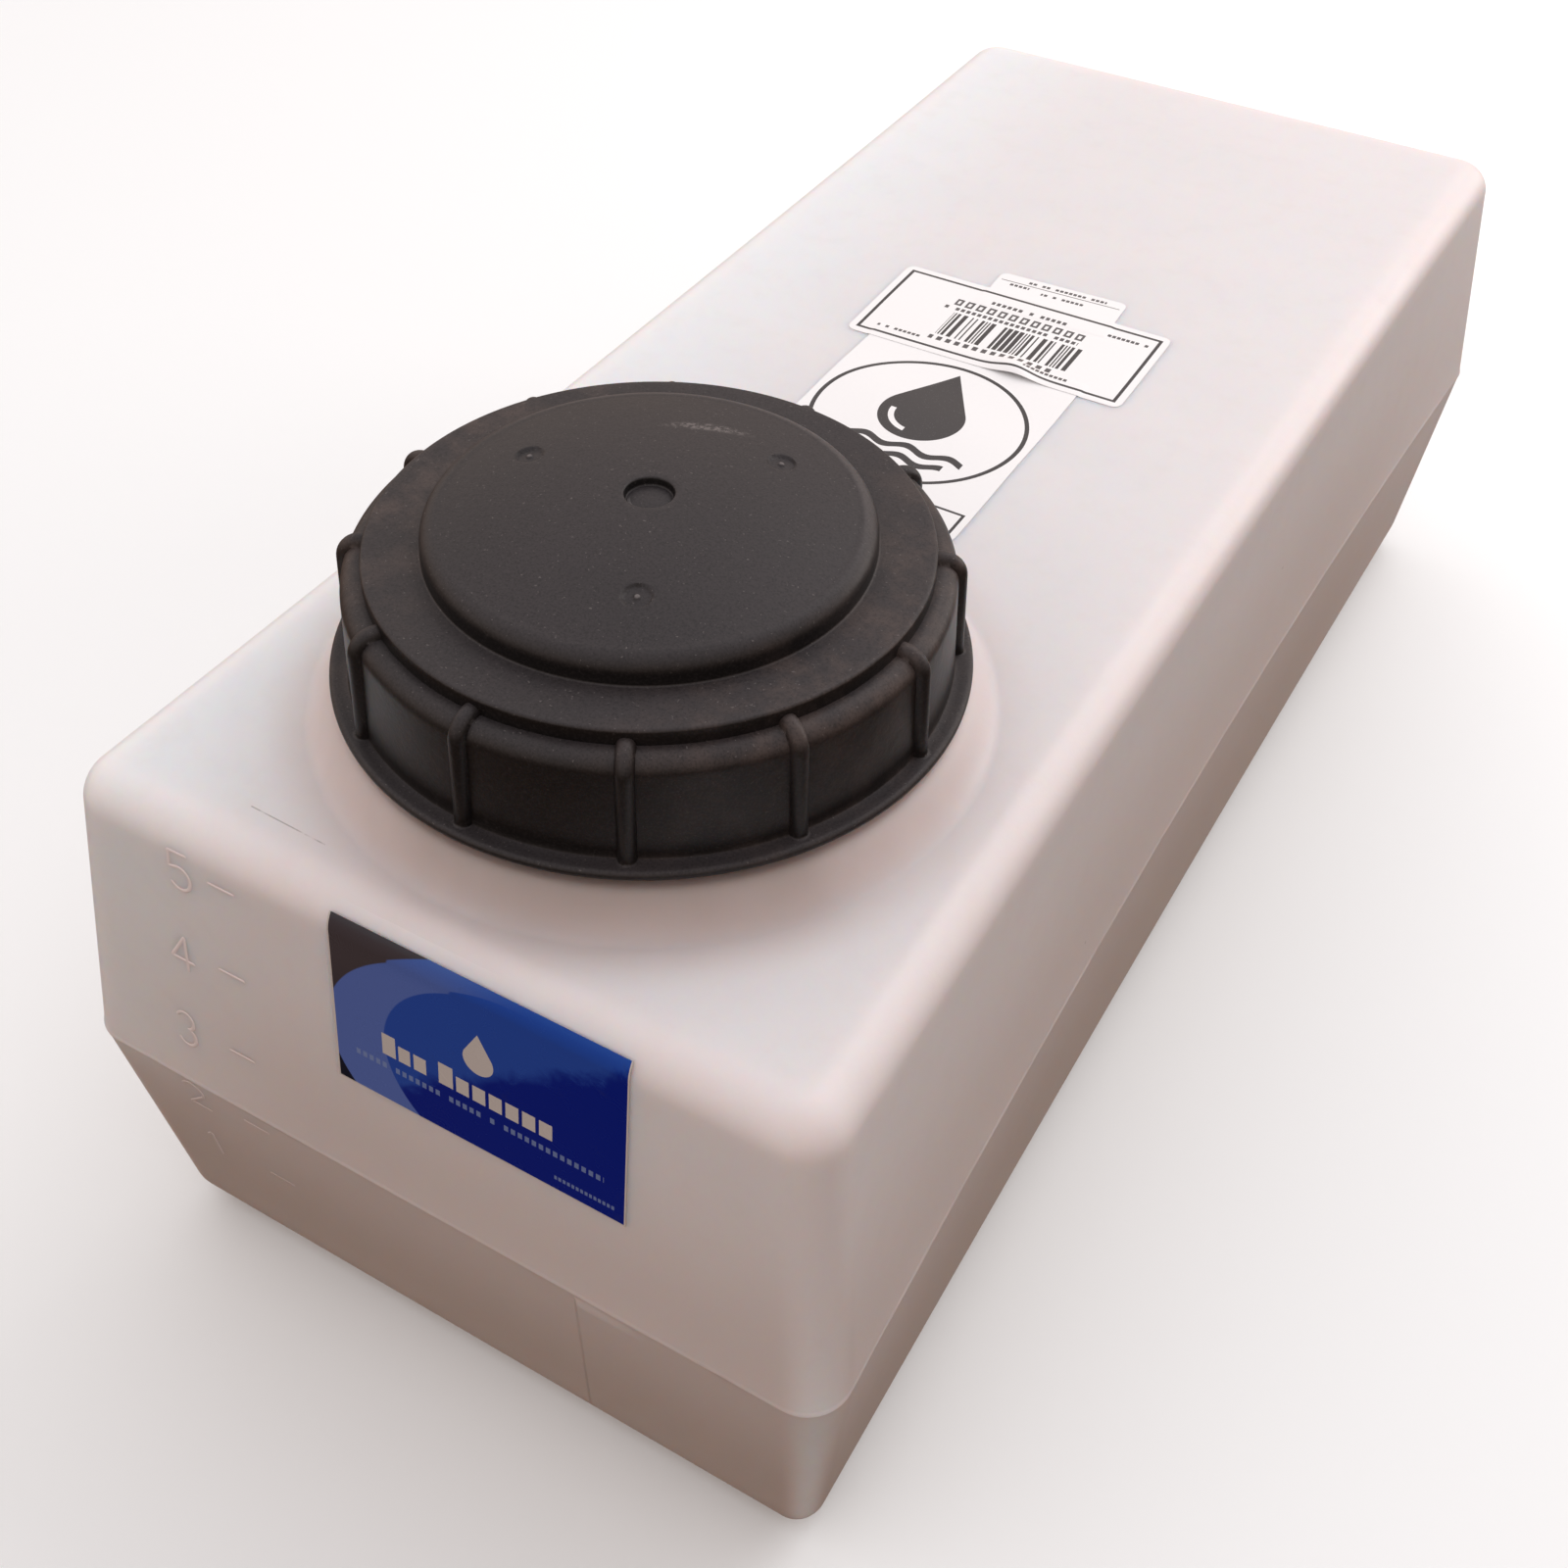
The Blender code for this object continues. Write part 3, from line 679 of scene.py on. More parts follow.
def front_section(offset, steps):
    """(y, z) points up the front wall and over its top edge, and how far along each lies."""
    ends = [(-wall_at(z)[1], z) for z in (FRONT_LABEL_BOTTOM, TOP_EDGE_START)]
    angles = np.linspace(UPPER_SLOPE, FRONT_LABEL_WRAP, steps // 2)
    outward = unit(math.pi - angles)
    wall = np.linspace(*ends, steps) + outward[0] * offset
    edge = np.add(ends[1], (TOP_EDGE_RADIUS, 0)) + outward[1:] * (TOP_EDGE_RADIUS + offset)
    rise = math.dist(*ends)
    round_edge = rise + TOP_EDGE_RADIUS * (angles[1:] - UPPER_SLOPE)
    lengths = np.concatenate((np.linspace(0, rise, steps), round_edge))
    return np.concatenate((wall, edge)), lengths


def make_front_sticker(material):
    """The glossy sticker on the front wall, whose upper edge wraps over the tank's edge."""
    lower_line, lengths = front_section(STICKER_LIFT, 40)
    upper_line, _ = front_section(STICKER_LIFT + STICKER_THICKNESS, 40)
    u = FRONT_LABEL_WIDTH * np.linspace(-0.5, 0.5, 90)[:, None]
    grids = []
    for line in (upper_line, lower_line):
        grids.append(np.stack(np.broadcast_arrays(FRONT_LABEL_X + u, *line.T), -1))
    flat = np.stack(np.broadcast_arrays(u, lengths), -1)
    return sheet_mesh("front_sticker", *grids, flat, material)


# ---- materials


def operator(kind):
    return lambda first, second=0.0: first.look.math(kind, first, second)


class Value:
    """One output of the nodes. Arithmetic on it adds nodes, and a | b is the larger of two."""

    __add__ = operator("ADD")
    __sub__ = operator("SUBTRACT")
    __mul__ = operator("MULTIPLY")
    __truediv__ = operator("DIVIDE")
    __or__ = operator("MAXIMUM")
    __lt__ = operator("LESS_THAN")
    __gt__ = operator("GREATER_THAN")
    __abs__ = operator("ABSOLUTE")

    def __init__(self, look, socket):
        self.look = look
        self.socket = socket


class Look:
    """Builds the nodes of one material or world."""

    def __init__(self, owner):
        self.owner = owner
        owner.use_nodes = True
        self.tree = owner.node_tree

    def feed(self, socket, value):
        if isinstance(value, Value):
            self.tree.links.new(value.socket, socket)
        else:
            socket.default_value = (*value, 1.0) if socket.type == "RGBA" else value

    def node(self, kind, sockets=None, **settings):
        made = self.tree.nodes.new("ShaderNode" + kind)
        for key, value in settings.items():
            setattr(made, key, value)
        for key, value in (sockets or {}).items():
            self.feed(made.inputs[key], value)
        return made

    def output(self, name, kind, sockets=None, **settings):
        return Value(self, self.node(kind, sockets, **settings).outputs[name])

    def place(self):
        """The point in the piece's own space, which is the frame's space at rest."""
        return self.output("Object", "TexCoord")

    def flat(self):
        """The point on a sticker laid flat, in metres from its middle."""
        return self.output("UV", "UVMap", uv_map="flat")

    def normal(self):
        return self.split(self.output("Normal", "NewGeometry"))

    def split(self, vector):
        outputs = self.node("SeparateXYZ", {"Vector": vector}).outputs
        return [Value(self, socket) for socket in outputs]

    def math(self, operation, first, second=0.0, clamp=False):
        sockets = {0: first, 1: second}
        return self.output(0, "Math", sockets, operation=operation, use_clamp=clamp)

    def without(self, first, second):
        """first less second, and never below 0."""
        return self.math("SUBTRACT", first, second, clamp=True)

    def noise(self, vector, scale, detail=2.0, roughness=0.5, distortion=0.0):
        sockets = {"Vector": vector, "Scale": scale, "Detail": detail}
        sockets.update({"Roughness": roughness, "Distortion": distortion})
        return self.output("Fac", "TexNoise", sockets)

    def stretched(self, vector, scale, turn=0.0):
        """The vector turned about Z and scaled."""
        sockets = {"Vector": vector, "Rotation": (0, 0, turn), "Scale": scale}
        return self.output("Vector", "Mapping", sockets)

    def fade(self, value, start, end, high=1.0, low=0.0):
        """A soft step from low, where value is start, to high, where it is end."""
        sockets = {"Value": value, "From Min": start, "From Max": end, "To Min": low, "To Max": high}
        return self.output(0, "MapRange", sockets, interpolation_type="SMOOTHSTEP")

    def mix(self, amount, first, second):
        return self.output(2, "Mix", {0: amount, 6: first, 7: second}, data_type="RGBA")

    def layers(self, colour, *coats):
        """The colour under coats of other colours, each with how much of it shows."""
        for amount, tone in coats:
            colour = self.mix(amount, colour, tone)
        return colour

    def box(self, centre, size):
        across = abs(self.u - centre[0]) < size[0] / 2
        return across * (abs(self.v - centre[1]) < size[1] / 2)

    def frame(self, centre, size, line):
        outer, inner = np.add(size, line).tolist(), np.subtract(size, line).tolist()
        return self.without(self.box(centre, outer), self.box(centre, inner))

    def from_point(self, u, v, centre, stretch=(1.0, 1.0)):
        """Distance from a centre, with each direction divided by its stretch."""
        across = (u - centre[0]) / stretch[0]
        up = (v - centre[1]) / stretch[1]
        return self.math("SQRT", across * across + up * up)

    def from_axis(self, x, y):
        return self.from_point(x, y, (0.0, NECK_Y))

    def ring(self, u, v, centre, radius, line):
        return abs(self.from_point(u, v, centre) - radius) < line / 2

    def draw(self, steps, seed):
        """The number of each whole step, and a random value for that number."""
        number = self.math("FLOOR", steps) + seed
        drawn = self.output("Value", "TexWhiteNoise", {"W": number}, noise_dimensions="1D")
        return number, drawn

    def blocks(self, centre, size, pitch, seed, share=0.72, gaps=0.16):
        """A line of plain print blocks that stands for a line of print."""
        steps = (self.u - centre[0]) / pitch
        _, drawn = self.draw(steps, seed)
        return self.box(centre, size) * (drawn > gaps) * (self.math("FRACT", steps) < share)

    def rows(self, *rows):
        """Several lines of blocks, each with its centre, size, pitch, seed, share and gaps."""
        shown = self.blocks(*rows[0])
        for row in rows[1:]:
            shown = shown | self.blocks(*row)
        return shown

    def bars(self, centre, size, module, seed):
        """Upright bars of one or more modules, drawn by number and not a real code."""
        number, drawn = self.draw((self.u - centre[0]) / module, seed)
        space = self.math("FRACT", number / 4.0) > 0.1
        return self.box(centre, size) * (drawn > 0.3) * space

    def bump(self, height, strength, distance, under=None):
        sockets = {"Strength": strength, "Distance": distance, "Height": height}
        if under is not None:
            sockets["Normal"] = under
        return self.output("Normal", "Bump", sockets)

    def finish(self, colour, roughness, normal=None, **values):
        inputs = self.tree.nodes["Principled BSDF"].inputs
        self.feed(inputs["Base Color"], colour)
        self.feed(inputs["Roughness"], roughness)
        if normal is not None:
            self.feed(inputs["Normal"], normal)
        for key, value in values.items():
            self.feed(inputs[key.replace("_", " ")], value)
        return self.owner


def new_look(name):
    return Look(bpy.data.materials.new(name))


def upright_corner(look):
    """1 where the surface faces halfway between X and Y, as the upright corners do."""
    normal_x, normal_y, _ = look.normal()
    return abs(normal_x * normal_y * 2.0)


def painted_wall_shade(look, x, y, z):
    """Painted shade: how much darker the milky walls are painted, less near the top, the corners and
    the left and far ends, which are painted as lit.
    """
    left = look.fade(x, -0.02, -0.125, 0.75) * look.fade(z, 0.07, 0.105)
    far = look.fade(y, 0.08, HALF_LENGTH, 0.65)
    lit = upright_corner(look) | left | far
    return look.fade(z, TOP - 0.018, TOP - 0.09) * look.without(1.0, lit)


def painted_wall_glow(look, x, z):
    """Painted light: how much paler the walls are painted low on the upright corners and towards the
    left.
    """
    low_corner = upright_corner(look) * look.fade(z, 0.13, 0.06)
    return low_corner | look.fade(x, -0.03, -0.125, 0.9)


def grime_and_shade_round_neck(look, place, x, y, z):
    """Brownish grime with painted shade from the lid on the boss, heavier in front and on the right.
    """
    smudge = look.fade(look.noise(place, 14.0, 3.0, 0.5, 0.4), 0.3, 0.7, 0.88, 0.62)
    near_neck = look.fade(look.from_axis(x, y), BOSS_FOOT_RADIUS + 0.014, BOSS_TOP_RADIUS)
    in_front = look.fade(y, NECK_Y + 0.04, NECK_Y - 0.09, 1.0, 0.28)
    right = look.fade(x, -0.09, 0.09, 1.2, 0.85)
    return near_neck * (z > TOP - 0.002) * in_front * right * smudge


def scratch_on_top(look, place, x, y):
    """One fine scratch across the top, near its front left corner."""
    from_line = abs(y + x * 0.033 + 0.264)
    broken = look.noise(look.stretched(place, (150.0, 30.0, 1.0)), 1.0, 3.0)
    in_reach = abs(x + 0.05) < 0.0125
    return look.fade(from_line, 0.00028, 0.0001) * in_reach * look.fade(broken, 0.38, 0.52)


def fold_height(look, x, y, z):
    """A shallow upright fold low on the front wall."""
    beyond = x - (z * 0.091 + 0.0401)
    step = look.fade(beyond, -0.0004, 0.0005) * look.fade(beyond, 0.03, 0.0)
    return step * look.fade(z, LOWER_HEIGHT, LOWER_HEIGHT - 0.008) * (y < -0.2)


def make_polyethylene(name, subsurface):
    """Milky polyethylene with soft mottling, faint grime, specks and one scratch, with painted shade
    and painted light on its walls, and painted shade on the boss and in the bore.
    """
    look = new_look(name)
    place = look.place()
    x, y, z = look.split(place)
    cloud = look.noise(place, 9.0, 3.0, 0.55)
    fine = look.noise(place, 85.0, 3.0, 0.6)
    shade = painted_wall_shade(look, x, y, z)
    low_wall = look.fade(z, LOWER_HEIGHT + 0.01, 0.025)
    grime_and_shade = grime_and_shade_round_neck(look, place, x, y, z)
    at_line = look.fade(abs(z - (LOWER_HEIGHT - 0.0004)), 0.0016, 0.0002)
    line_noise = look.noise(look.stretched(place, (34.0, 34.0, 300.0)), 1.0, 4.0, 0.7)
    cells = look.node("TexVoronoi", {"Vector": place, "Scale": 34.0}).outputs
    spot = look.fade(Value(look, cells["Distance"]), 0.03, 0.012)
    chosen = look.split(Value(look, cells["Color"]))[0] > 0.8
    painted_bore_shade = (look.from_axis(x, y) < NECK_BORE_RADIUS + 0.001) * (z > TOP - 2 * WALL)
    colour = look.layers(
        look.mix(cloud, (0.835, 0.73, 0.732), (0.87, 0.768, 0.775)),
        # painted light: the walls are painted paler low on the upright corners and towards the left
        (painted_wall_glow(look, x, z), (0.965, 0.895, 0.9)),
        # painted shade: the walls are painted darker away from the top, less so at the corners and
        # the left and far ends
        (shade, (0.685, 0.595, 0.58)),
        # painted shade: the lower walls are painted darker still
        (low_wall * shade, (0.535, 0.458, 0.425)),
        (look.fade(fine, 0.45, 0.8, 0.1), (0.66, 0.57, 0.53)),
        # grime and painted shade from the lid on the boss round the neck
        (grime_and_shade, (0.37, 0.312, 0.29)),
        (at_line * look.fade(line_noise, 0.52, 0.72, 0.5, 0.05), (0.33, 0.26, 0.22)),
        (spot * chosen * 0.5, (0.3, 0.22, 0.18)),
        (scratch_on_top(look, place, x, y) * 0.6, (0.25, 0.19, 0.17)),
        # painted shade: the neck's bore is painted a dark bluish grey
        (painted_bore_shade, (0.16, 0.22, 0.27)),
    )
    soft = look.bump(look.noise(place, 55.0), 0.2, 0.0004)
    folded = look.bump(fold_height(look, x, y, z), 1.0, 0.0012, soft)
    return look.finish(
        colour,
        fine * 0.12 + grime_and_shade * 0.15 + 0.36,
        look.bump(look.noise(place, 620.0, 3.0, 0.55), 0.16, 0.0002, folded),
        Subsurface_Weight=subsurface,
        Subsurface_Radius=(1.0, 0.58, 0.4),
        Subsurface_Scale=0.012,
        IOR=1.5,
    )


def rub_marks(look, place):
    """A short bowed line of pale rub marks at the back of the crown."""
    turn = -22
    middle = turned(-0.0048, NECK_Y + 0.0362, turn)
    along, beyond, _ = look.split(look.stretched(place, (1.0, 1.0, 1.0), math.radians(turn)))
    bend = along - middle[0]
    away = look.from_point(along, beyond + bend * bend * 9.0, middle, (0.015, 0.0026))
    broken = look.fade(look.noise(place, 620.0, 3.0, 0.7), 0.42, 0.6, 0.8, 0.05)
    return look.fade(away, 1.0, 0.3) * broken


def lid_dust(look, place, x, from_axis, facing):
    """Patchy brown dust outside the crown, thin in front, behind and on the flange."""
    off_crown = look.fade(from_axis, CROWN_RADIUS - 0.003, CROWN_RADIUS + 0.002)
    off_flange = look.fade(from_axis, SKIRT_RADIUS, SKIRT_RADIUS + 0.002, 0.35, 1.0)
    sides = look.fade(abs(x), 0.02, 0.07, 1.0, 0.1)
    upward = look.fade(facing, 0.0, 0.6, 1.0, 0.22)
    patches = look.fade(look.noise(place, 75.0, 5.0, 0.65), 0.38, 0.7, 0.85, 0.05)
    return off_crown * off_flange * sides * upward * patches


def make_lid_plastic():
    """Satin black polypropylene with a grey film of dust and painted sheen, brown dust, painted
    highlights on the crown's edge and the recess lip, grain, specks and rub marks.
    """
    look = new_look("lid_plastic")
    place = look.place()
    x, y, _ = look.split(place)
    facing = look.normal()[2]
    from_axis = look.from_axis(x, y)
    cloud = look.noise(place, 30.0, 4.0, 0.6)
    upper = look.fade(facing, 0.15, 0.97)
    dust_and_sheen = upper * look.fade(cloud, 0.25, 0.75, 1.0, 0.78) * look.fade(x, -0.055, 0.0, 1.0, 0.76)
    crown_edge_highlight = look.fade(abs(from_axis - 0.0562), 0.0022, 0.0004)
    behind = look.fade(y, NECK_Y - 0.005, NECK_Y + 0.045, 0.5)
    recess_lip_highlight = look.ring(x, y, (0.0, NECK_Y), 0.0053, 0.0007)
    lip_front = look.fade(y, NECK_Y - 0.001, NECK_Y - 0.004, 0.7)
    grain = look.noise(place, 1500.0, 2.0, 0.6)
    specks = look.fade(look.noise(place, 1100.0), 0.67, 0.75, 0.38)
    colour = look.layers(
        look.mix(cloud, (0.0026, 0.002, 0.0022), (0.0052, 0.0042, 0.0045)),
        # dust and painted sheen: a grey film on upward faces, thinner towards the left
        (dust_and_sheen, (0.032, 0.027, 0.0292)),
        (lid_dust(look, place, x, from_axis, facing), (0.074, 0.053, 0.047)),
        # painted highlight: a faint pale line along the back of the crown's edge
        (crown_edge_highlight * behind, (0.11, 0.098, 0.098)),
        (rub_marks(look, place), (0.19, 0.168, 0.165)),
        # painted highlight: a thin pale crescent on the front of the recess lip
        (recess_lip_highlight * lip_front, (0.13, 0.118, 0.118)),
        (look.fade(grain, 0.48, 0.66, 0.08), (0.085, 0.072, 0.074)),
        (look.fade(grain, 0.5, 0.34, 0.34), (0.003, 0.002, 0.002)),
        (specks * look.fade(facing, 0.1, 0.8, 1.0, 0.25), (0.2, 0.18, 0.175)),
    )
    for degrees in GATE_ANGLES:
        gate = np.add(turned(GATE_PLACE, 0, degrees + LID_TURN), (0, NECK_Y)).tolist()
        nub = look.fade(look.from_point(x, y, gate), 0.0009, 0.0004, 0.6)
        colour = look.mix(nub, colour, (0.2, 0.18, 0.18))
    soft = look.bump(cloud, 0.1, 0.0004)
    normal = look.bump(look.noise(place, 420.0, 3.0, 0.6), 0.45, 0.0002, soft)
    roughness = cloud * 0.12 + dust_and_sheen * 0.14 + 0.35
    return look.finish(colour, roughness, normal, Specular_IOR_Level=0.33)


def make_rubber():
    """Soft off-white rubber with a fine bloom on its surface."""
    look = new_look("gasket_rubber")
    place = look.place()
    bloom = look.noise(place, 120.0, 3.0, 0.6)
    colour = look.mix(bloom, (0.66, 0.65, 0.62), (0.74, 0.73, 0.7))
    normal = look.bump(look.noise(place, 700.0), 0.2, 0.0002)
    return look.finish(colour, look.fade(bloom, 0.2, 0.8, 0.78, 0.6), normal)


def paper_finish(look, flat, dark, pale):
    """Semi-gloss label stock with black print where dark is 1 and grey where pale is 1."""
    fibre = look.noise(flat, 700.0, 2.0, 0.6)
    worn = look.fade(look.noise(flat, 2600.0, 2.0, 0.6), 0.66, 0.74, 0.72, 1.0)
    colour = look.layers(
        (0.925, 0.93, 0.94),
        (look.fade(fibre, 0.3, 0.8, 0.25), (0.88, 0.885, 0.895)),
        (worn * pale, (0.065, 0.06, 0.064)),
        (worn * dark, (0.02, 0.017, 0.019)),
    )
    normal = look.bump(look.noise(flat, 160.0), 0.06, 0.0003)
    return look.finish(colour, fibre * 0.1 + 0.3, normal, Coat_Weight=0.15, Coat_Roughness=0.25)


def start_print(name):
    look = new_look(name)
    flat = look.flat()
    look.u, look.v, _ = look.split(flat)
    return look, flat, look.u, look.v


def make_barcode_print():
    """White label with a thin frame, plain upright bars and rows of print blocks."""
    look, flat, _, _ = start_print("barcode_print")
    border = look.frame((0.0, 0.0), (0.0956, 0.044), 0.0012)
    code = look.bars((0.0022, -0.0052), (0.049, 0.016), 0.00054, 11.0)
    title = look.blocks((0.0, 0.01), (0.05, 0.0044), 0.0042, 3.0, 0.68, 0.0)
    core = look.blocks((0.0008, 0.01), (0.05, 0.0022), 0.0042, 3.0, 0.28, 0.0)
    rows = look.rows(
        ((0.001, 0.0154), (0.029, 0.002), 0.0021, 19.0, 0.66, 0.1),
        ((-0.002, 0.0054), (0.051, 0.002), 0.0021, 31.0, 0.66, 0.12),
        ((0.0, -0.0158), (0.047, 0.0026), 0.0034, 47.0, 0.55, 0.0),
        ((0.037, 0.0165), (0.0165, 0.0016), 0.0017, 61.0, 0.74, 0.06),
        ((-0.034, -0.0178), (0.0165, 0.0016), 0.0017, 73.0, 0.74, 0.14),
        ((0.0215, -0.0188), (0.016, 0.0016), 0.0017, 89.0, 0.74, 0.1),
    )
    return paper_finish(look, flat, border | code, look.without(title, core) | rows)


def drop_shape(look, u, v, centre, radius):
    """A plain water drop: a round foot that narrows to a point above it."""
    above = v - centre[1]
    reach = look.math("SUBTRACT", 2.0 * radius, above) * 0.577
    neck = (above > 0.5 * radius) * (abs(u - centre[0]) < reach)
    return (look.from_point(u, v, centre) < radius) | neck


def make_mark_print():
    """White label with a thin round outline, a plain water drop over waves, and a frame."""
    look, flat, u, v = start_print("mark_print")
    drop_centre = (0.0, 0.0065)
    lower_left = (u < -0.0015) * (v < drop_centre[1])
    gleam = look.ring(u, v, drop_centre, 0.01, 0.002) * lower_left
    drop = look.without(drop_shape(look, u, v, drop_centre, 0.0145), gleam)
    dark = look.ring(u, v, (0.0, 0.004), 0.0355, 0.0015) | drop
    swell = look.math("SINE", u * 420.0) * 0.0013
    for middle, half in ((-0.0125, 0.024), (-0.0185, 0.019)):
        dark = dark | (abs(v - swell - middle) < 0.0015) * (abs(u) < half)
    box = look.frame((0.0, -0.0432), (0.072, 0.0142), 0.001)
    row = look.blocks((-0.0005, -0.0432), (0.058, 0.005), 0.0046, 5.0)
    return paper_finish(look, flat, dark | box | row, 0.0)


def make_inspection_print():
    """White label with thin ruled lines and rows of print blocks."""
    look, flat, _, _ = start_print("inspection_print")
    rule = look.box((0.0, 0.0075), (0.045, 0.0004))
    lower_rule = look.box((0.0, -0.002), (0.045, 0.0004))
    rows = look.rows(
        ((0.001, 0.0096), (0.032, 0.0015), 0.0017, 7.0),
        ((-0.015, 0.0055), (0.008, 0.0015), 0.0017, 23.0),
        ((0.002, 0.004), (0.016, 0.0015), 0.0017, 41.0),
    )
    return paper_finish(look, flat, rule | lower_rule, rows)


def front_ground(look, u, v, half, painted_glare):
    """The front label's ground: dark, under two overlapping blue ovals, the deep blue paler where a
    glare is painted on it.
    """
    dark = look.mix(look.fade(v, 0.01, 0.045), (0.004, 0.005, 0.018), (0.058, 0.045, 0.051))
    outer = look.from_point(u, v, (-half + 0.062, 0.02), (0.064, 0.0413))
    inner = look.from_point(u, v, (-half + 0.056, 0.022), (0.04, 0.032))
    in_inner = look.fade(inner, 1.006, 0.994) | look.fade(u, -0.012, 0.018)
    pale = look.mix(look.fade(v, 0.045, 0.062), (0.09, 0.147, 0.44), (0.042, 0.095, 0.36))
    # painted glare: the deep blue is painted paler where the glare falls
    deep = look.mix(painted_glare, (0.0, 0.0095, 0.215), (0.018, 0.066, 0.37))
    return look.mix(look.fade(outer, 1.004, 0.996), dark, look.mix(in_inner, pale, deep))


def make_front_print():
    """Glossy vinyl in black and blues, with plain cream marks that stand for its print and a painted
    glare on the deep blue.
    """
    look, flat, u, v = start_print("front_print")
    half = FRONT_LABEL_WIDTH / 2
    scuff = look.noise(flat, 130.0, 5.0, 0.65, 0.8)
    blotch = look.noise(flat, 38.0, 3.0, 0.5, 1.0)
    # painted glare: a blotchy pale band across the deep blue, towards its top
    painted_glare = look.fade(v - u * 0.64 + blotch * 0.016 + scuff * 0.01, 0.034, 0.0405)
    cream = look.box((-0.027, 0.0208), (0.0042, 0.0074))
    cream = cream | look.box((-0.0092, 0.0208), (0.0044, 0.0074))
    cream = cream | look.rows(
        ((-0.0192, 0.0198), (0.0096, 0.0054), 0.005, 2.0, 0.78, 0.0),
        ((0.009, 0.0198), (0.03, 0.0054), 0.005, 2.0, 0.78, 0.0),
    )
    small = look.rows(
        ((0.0, 0.013), (0.076, 0.0019), 0.0021, 17.0, 0.62, 0.12),
        ((0.0325, 0.0046), (0.018, 0.0013), 0.0013, 29.0, 0.66, 0.12),
    )
    trim = (u < -half + 0.0005) | (v < 0.0005) | (u > half - 0.0004)
    colour = look.layers(
        front_ground(look, u, v, half, painted_glare),
        (cream | drop_shape(look, u, v, (0.001, 0.0318), 0.0046), (0.56, 0.52, 0.5)),
        (small * 0.75, (0.2, 0.27, 0.48)),
        (look.fade(scuff, 0.62, 0.75, 0.22), (0.035, 0.035, 0.06)),
        (trim, (0.62, 0.56, 0.53)),
    )
    return look.finish(
        colour,
        look.fade(scuff, 0.3, 0.75, 0.34, 0.14),
        look.bump(look.noise(flat, 95.0, 3.0, 0.6, 0.5), 0.1, 0.0004),
        Specular_IOR_Level=0.2,
        Specular_Tint=(0.2, 0.75, 1.0),
    )


# ---- stage


def make_floor():
    """A plain pale floor that stays out of the tank's bounce light."""
    reach = 8.0
    corners = [(-reach, -reach, 0), (reach, -reach, 0), (reach, reach, 0), (-reach, reach, 0)]
    look = new_look("floor")
    cloud = look.noise(look.place(), 0.6, 1.0)
    colour = look.mix(cloud, (0.925, 0.96, 0.97), (0.94, 0.975, 0.985))
    floor = surface("floor", corners, [(0, 1, 2, 3)], look.finish(colour, 0.9))
    floor.visible_diffuse = False
    floor.visible_glossy = False


def make_camera():
    camera = bpy.data.cameras.new("camera")
    camera.lens = 45.945
    camera.sensor_width = 36.0
    camera.shift_x = 0.00625
    camera.shift_y = -0.1125
    camera.clip_start = 0.01
    obj = add("camera", camera)
    obj.location = (0.23126, -0.51227, 0.55164)
    obj.rotation_euler = Euler([math.radians(angle) for angle in (50.964, -0.975, 30.328)])
    bpy.context.scene.camera = obj


def make_area_light(name, place, target, size, power, colour):
    light = bpy.data.lights.new(name, "AREA")
    light.shape = "DISK"
    light.size = size
    light.energy = power
    light.color = colour
    obj = add(name, light)
    obj.location = place
    aim = Vector(target) - Vector(place)
    obj.rotation_euler = aim.to_track_quat("-Z", "Y").to_euler()


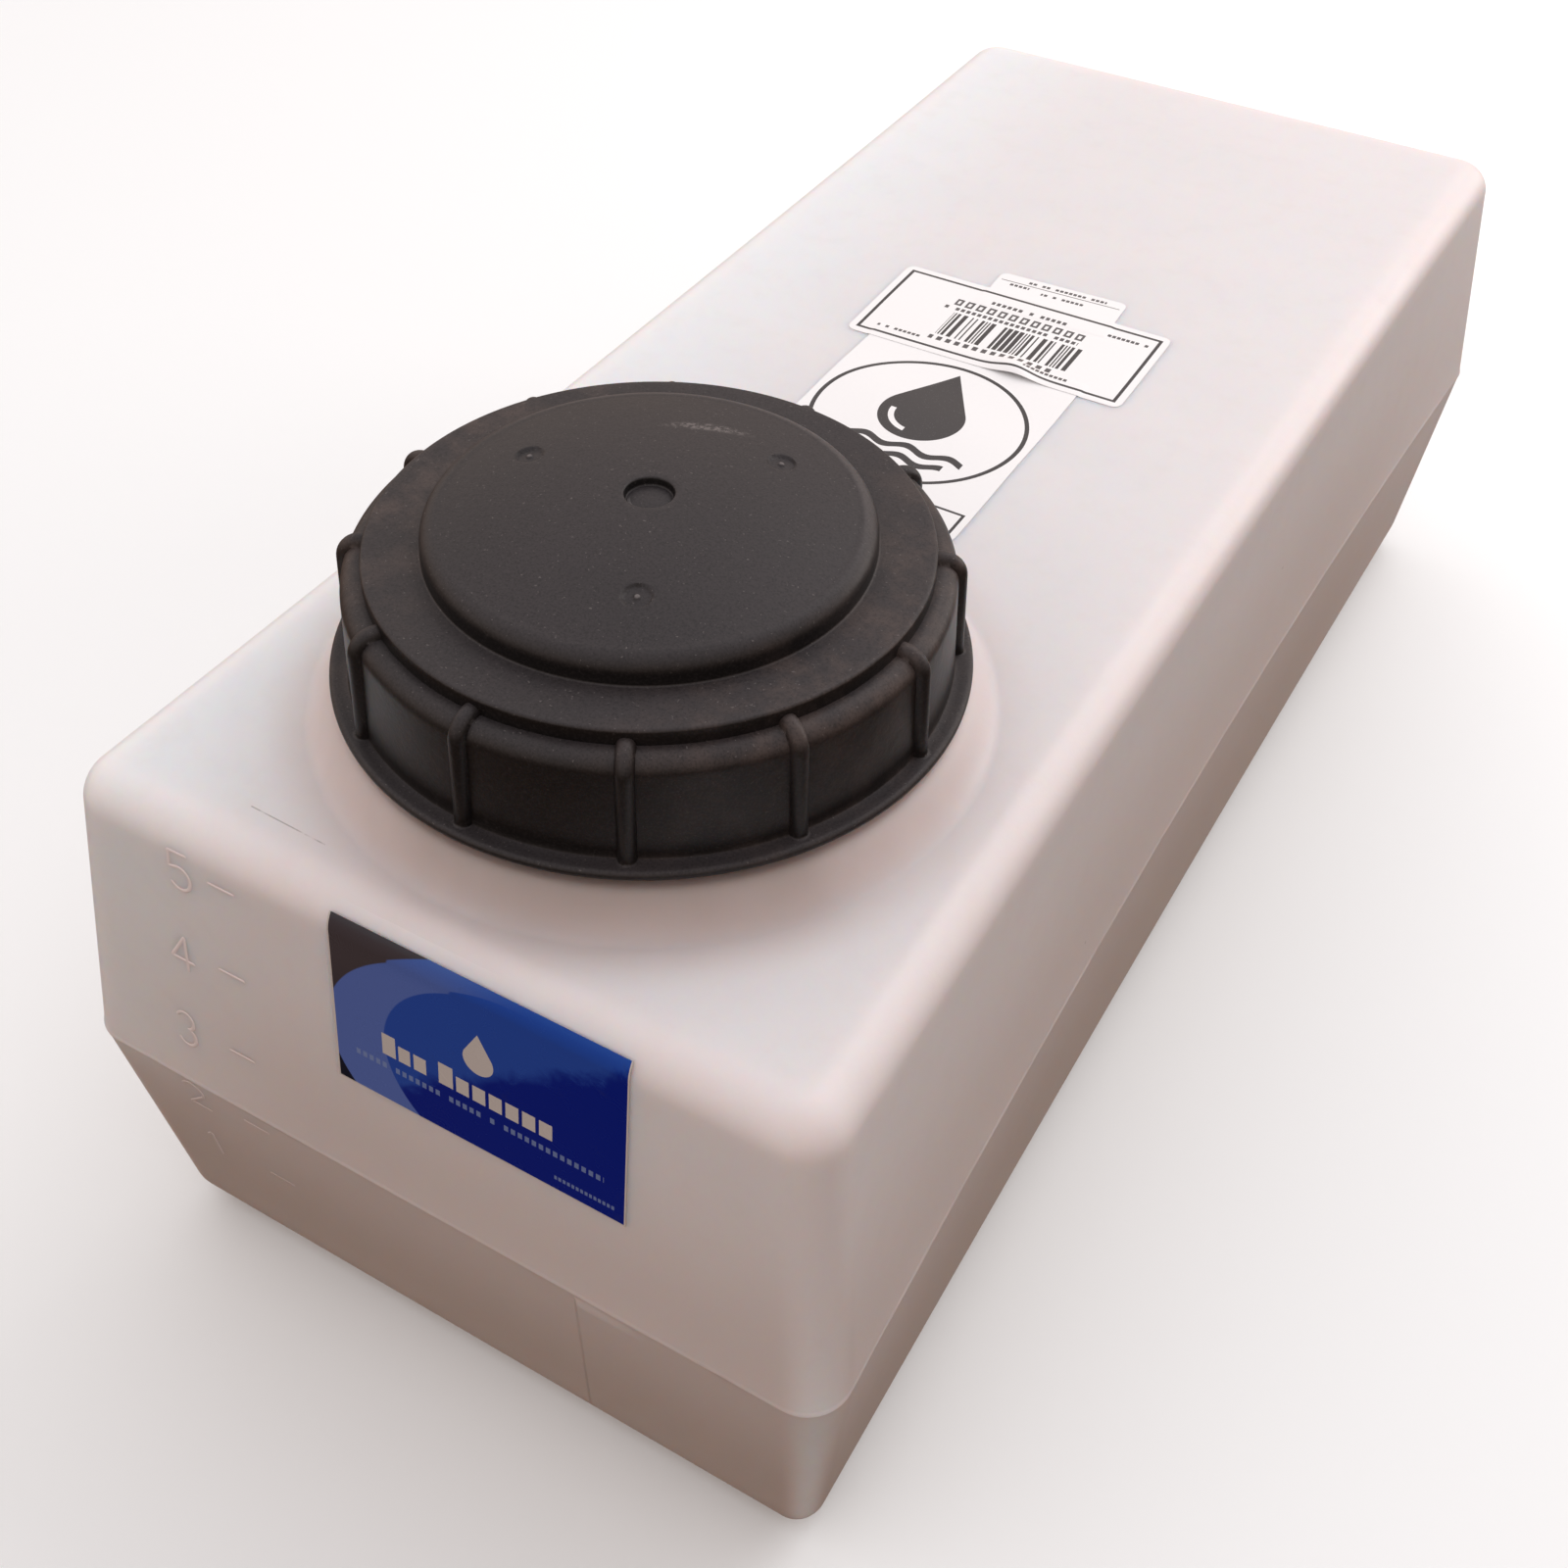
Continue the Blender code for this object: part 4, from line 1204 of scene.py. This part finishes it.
def make_world():
    """Soft studio light: white from above, dimmer and warmer from the sides and below."""
    world = bpy.data.worlds.new("studio")
    bpy.context.scene.world = world
    sky = Look(world)
    x, _, z = sky.split(sky.output("Generated", "TexCoord"))
    height = sky.output("Result", "MapRange", {"Value": z, "From Min": -1.0})
    sides = {"Value": x, "From Min": -1.0, "To Min": 1.22, "To Max": 0.76}
    strength = sky.output("Result", "MapRange", sides)
    ramp = sky.node("ValToRGB", {"Fac": height})
    stops = (
        (0.0, (0.085, 0.052, 0.038)),
        (0.45, (0.195, 0.128, 0.092)),
        (0.56, (0.94, 0.755, 0.645)),
        (0.76, (0.885, 0.8, 0.77)),
        (0.92, (0.935, 0.905, 0.92)),
    )
    elements = ramp.color_ramp.elements
    while len(elements) < len(stops):
        elements.new(0.5)
    for element, (position, colour) in zip(elements, stops):
        element.position = position
        element.color = (*colour, 1.0)
    background = sky.tree.nodes["Background"].inputs
    sky.feed(background["Color"], Value(sky, ramp.outputs["Color"]))
    sky.feed(background["Strength"], strength)


def make_stage():
    bpy.context.scene.view_settings.view_transform = "Standard"
    make_floor()
    make_camera()
    make_world()
    target = (0.0, 0.0, 0.15)
    make_area_light("overhead_light", (0.5, 1.5, 1.9), target, 1.6, 12.0, (1.0, 0.98, 0.99))
    make_area_light("rear_light", (0.7, 0.9, 0.45), (0.12, 0.25, 0.17), 0.6, 2.9, (1.0, 0.97, 0.96))


# ---- assembly


def attach(obj, body, slot, *nodes):
    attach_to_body(obj, body)
    if nodes:
        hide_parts(*nodes)


def build():
    make_stage()
    polyethylene = make_polyethylene("polyethylene", 0.8)
    attach(make_tank(polyethylene), "tank", "polyethylene", "tank_shell")
    attach(make_gallon_marks(make_polyethylene("raised_marks", 0.0)), "tank", "polyethylene")
    attach(make_lid(make_lid_plastic()), "screw_lid", "lid_plastic", "lid")
    attach(make_gasket(make_rubber()), "gasket", "gasket_rubber", "lid_gasket")
    mark = make_top_sticker("certification_sticker", MARK_LABEL, make_mark_print())
    attach(mark, "tank", "label_stock", "certification_label")
    inspection = make_top_sticker("inspection_sticker", INSPECTION_LABEL, make_inspection_print())
    attach(inspection, "tank", "label_stock", "inspection_label")
    under = (MARK_LABEL, INSPECTION_LABEL)
    prints = make_barcode_print()
    barcode = make_top_sticker("barcode_sticker", BARCODE_LABEL, prints, under, WRINKLE_HEIGHT)
    attach(barcode, "tank", "label_stock", "barcode_label")
    attach(make_front_sticker(make_front_print()), "tank", "printed_vinyl", "front_label")


build()
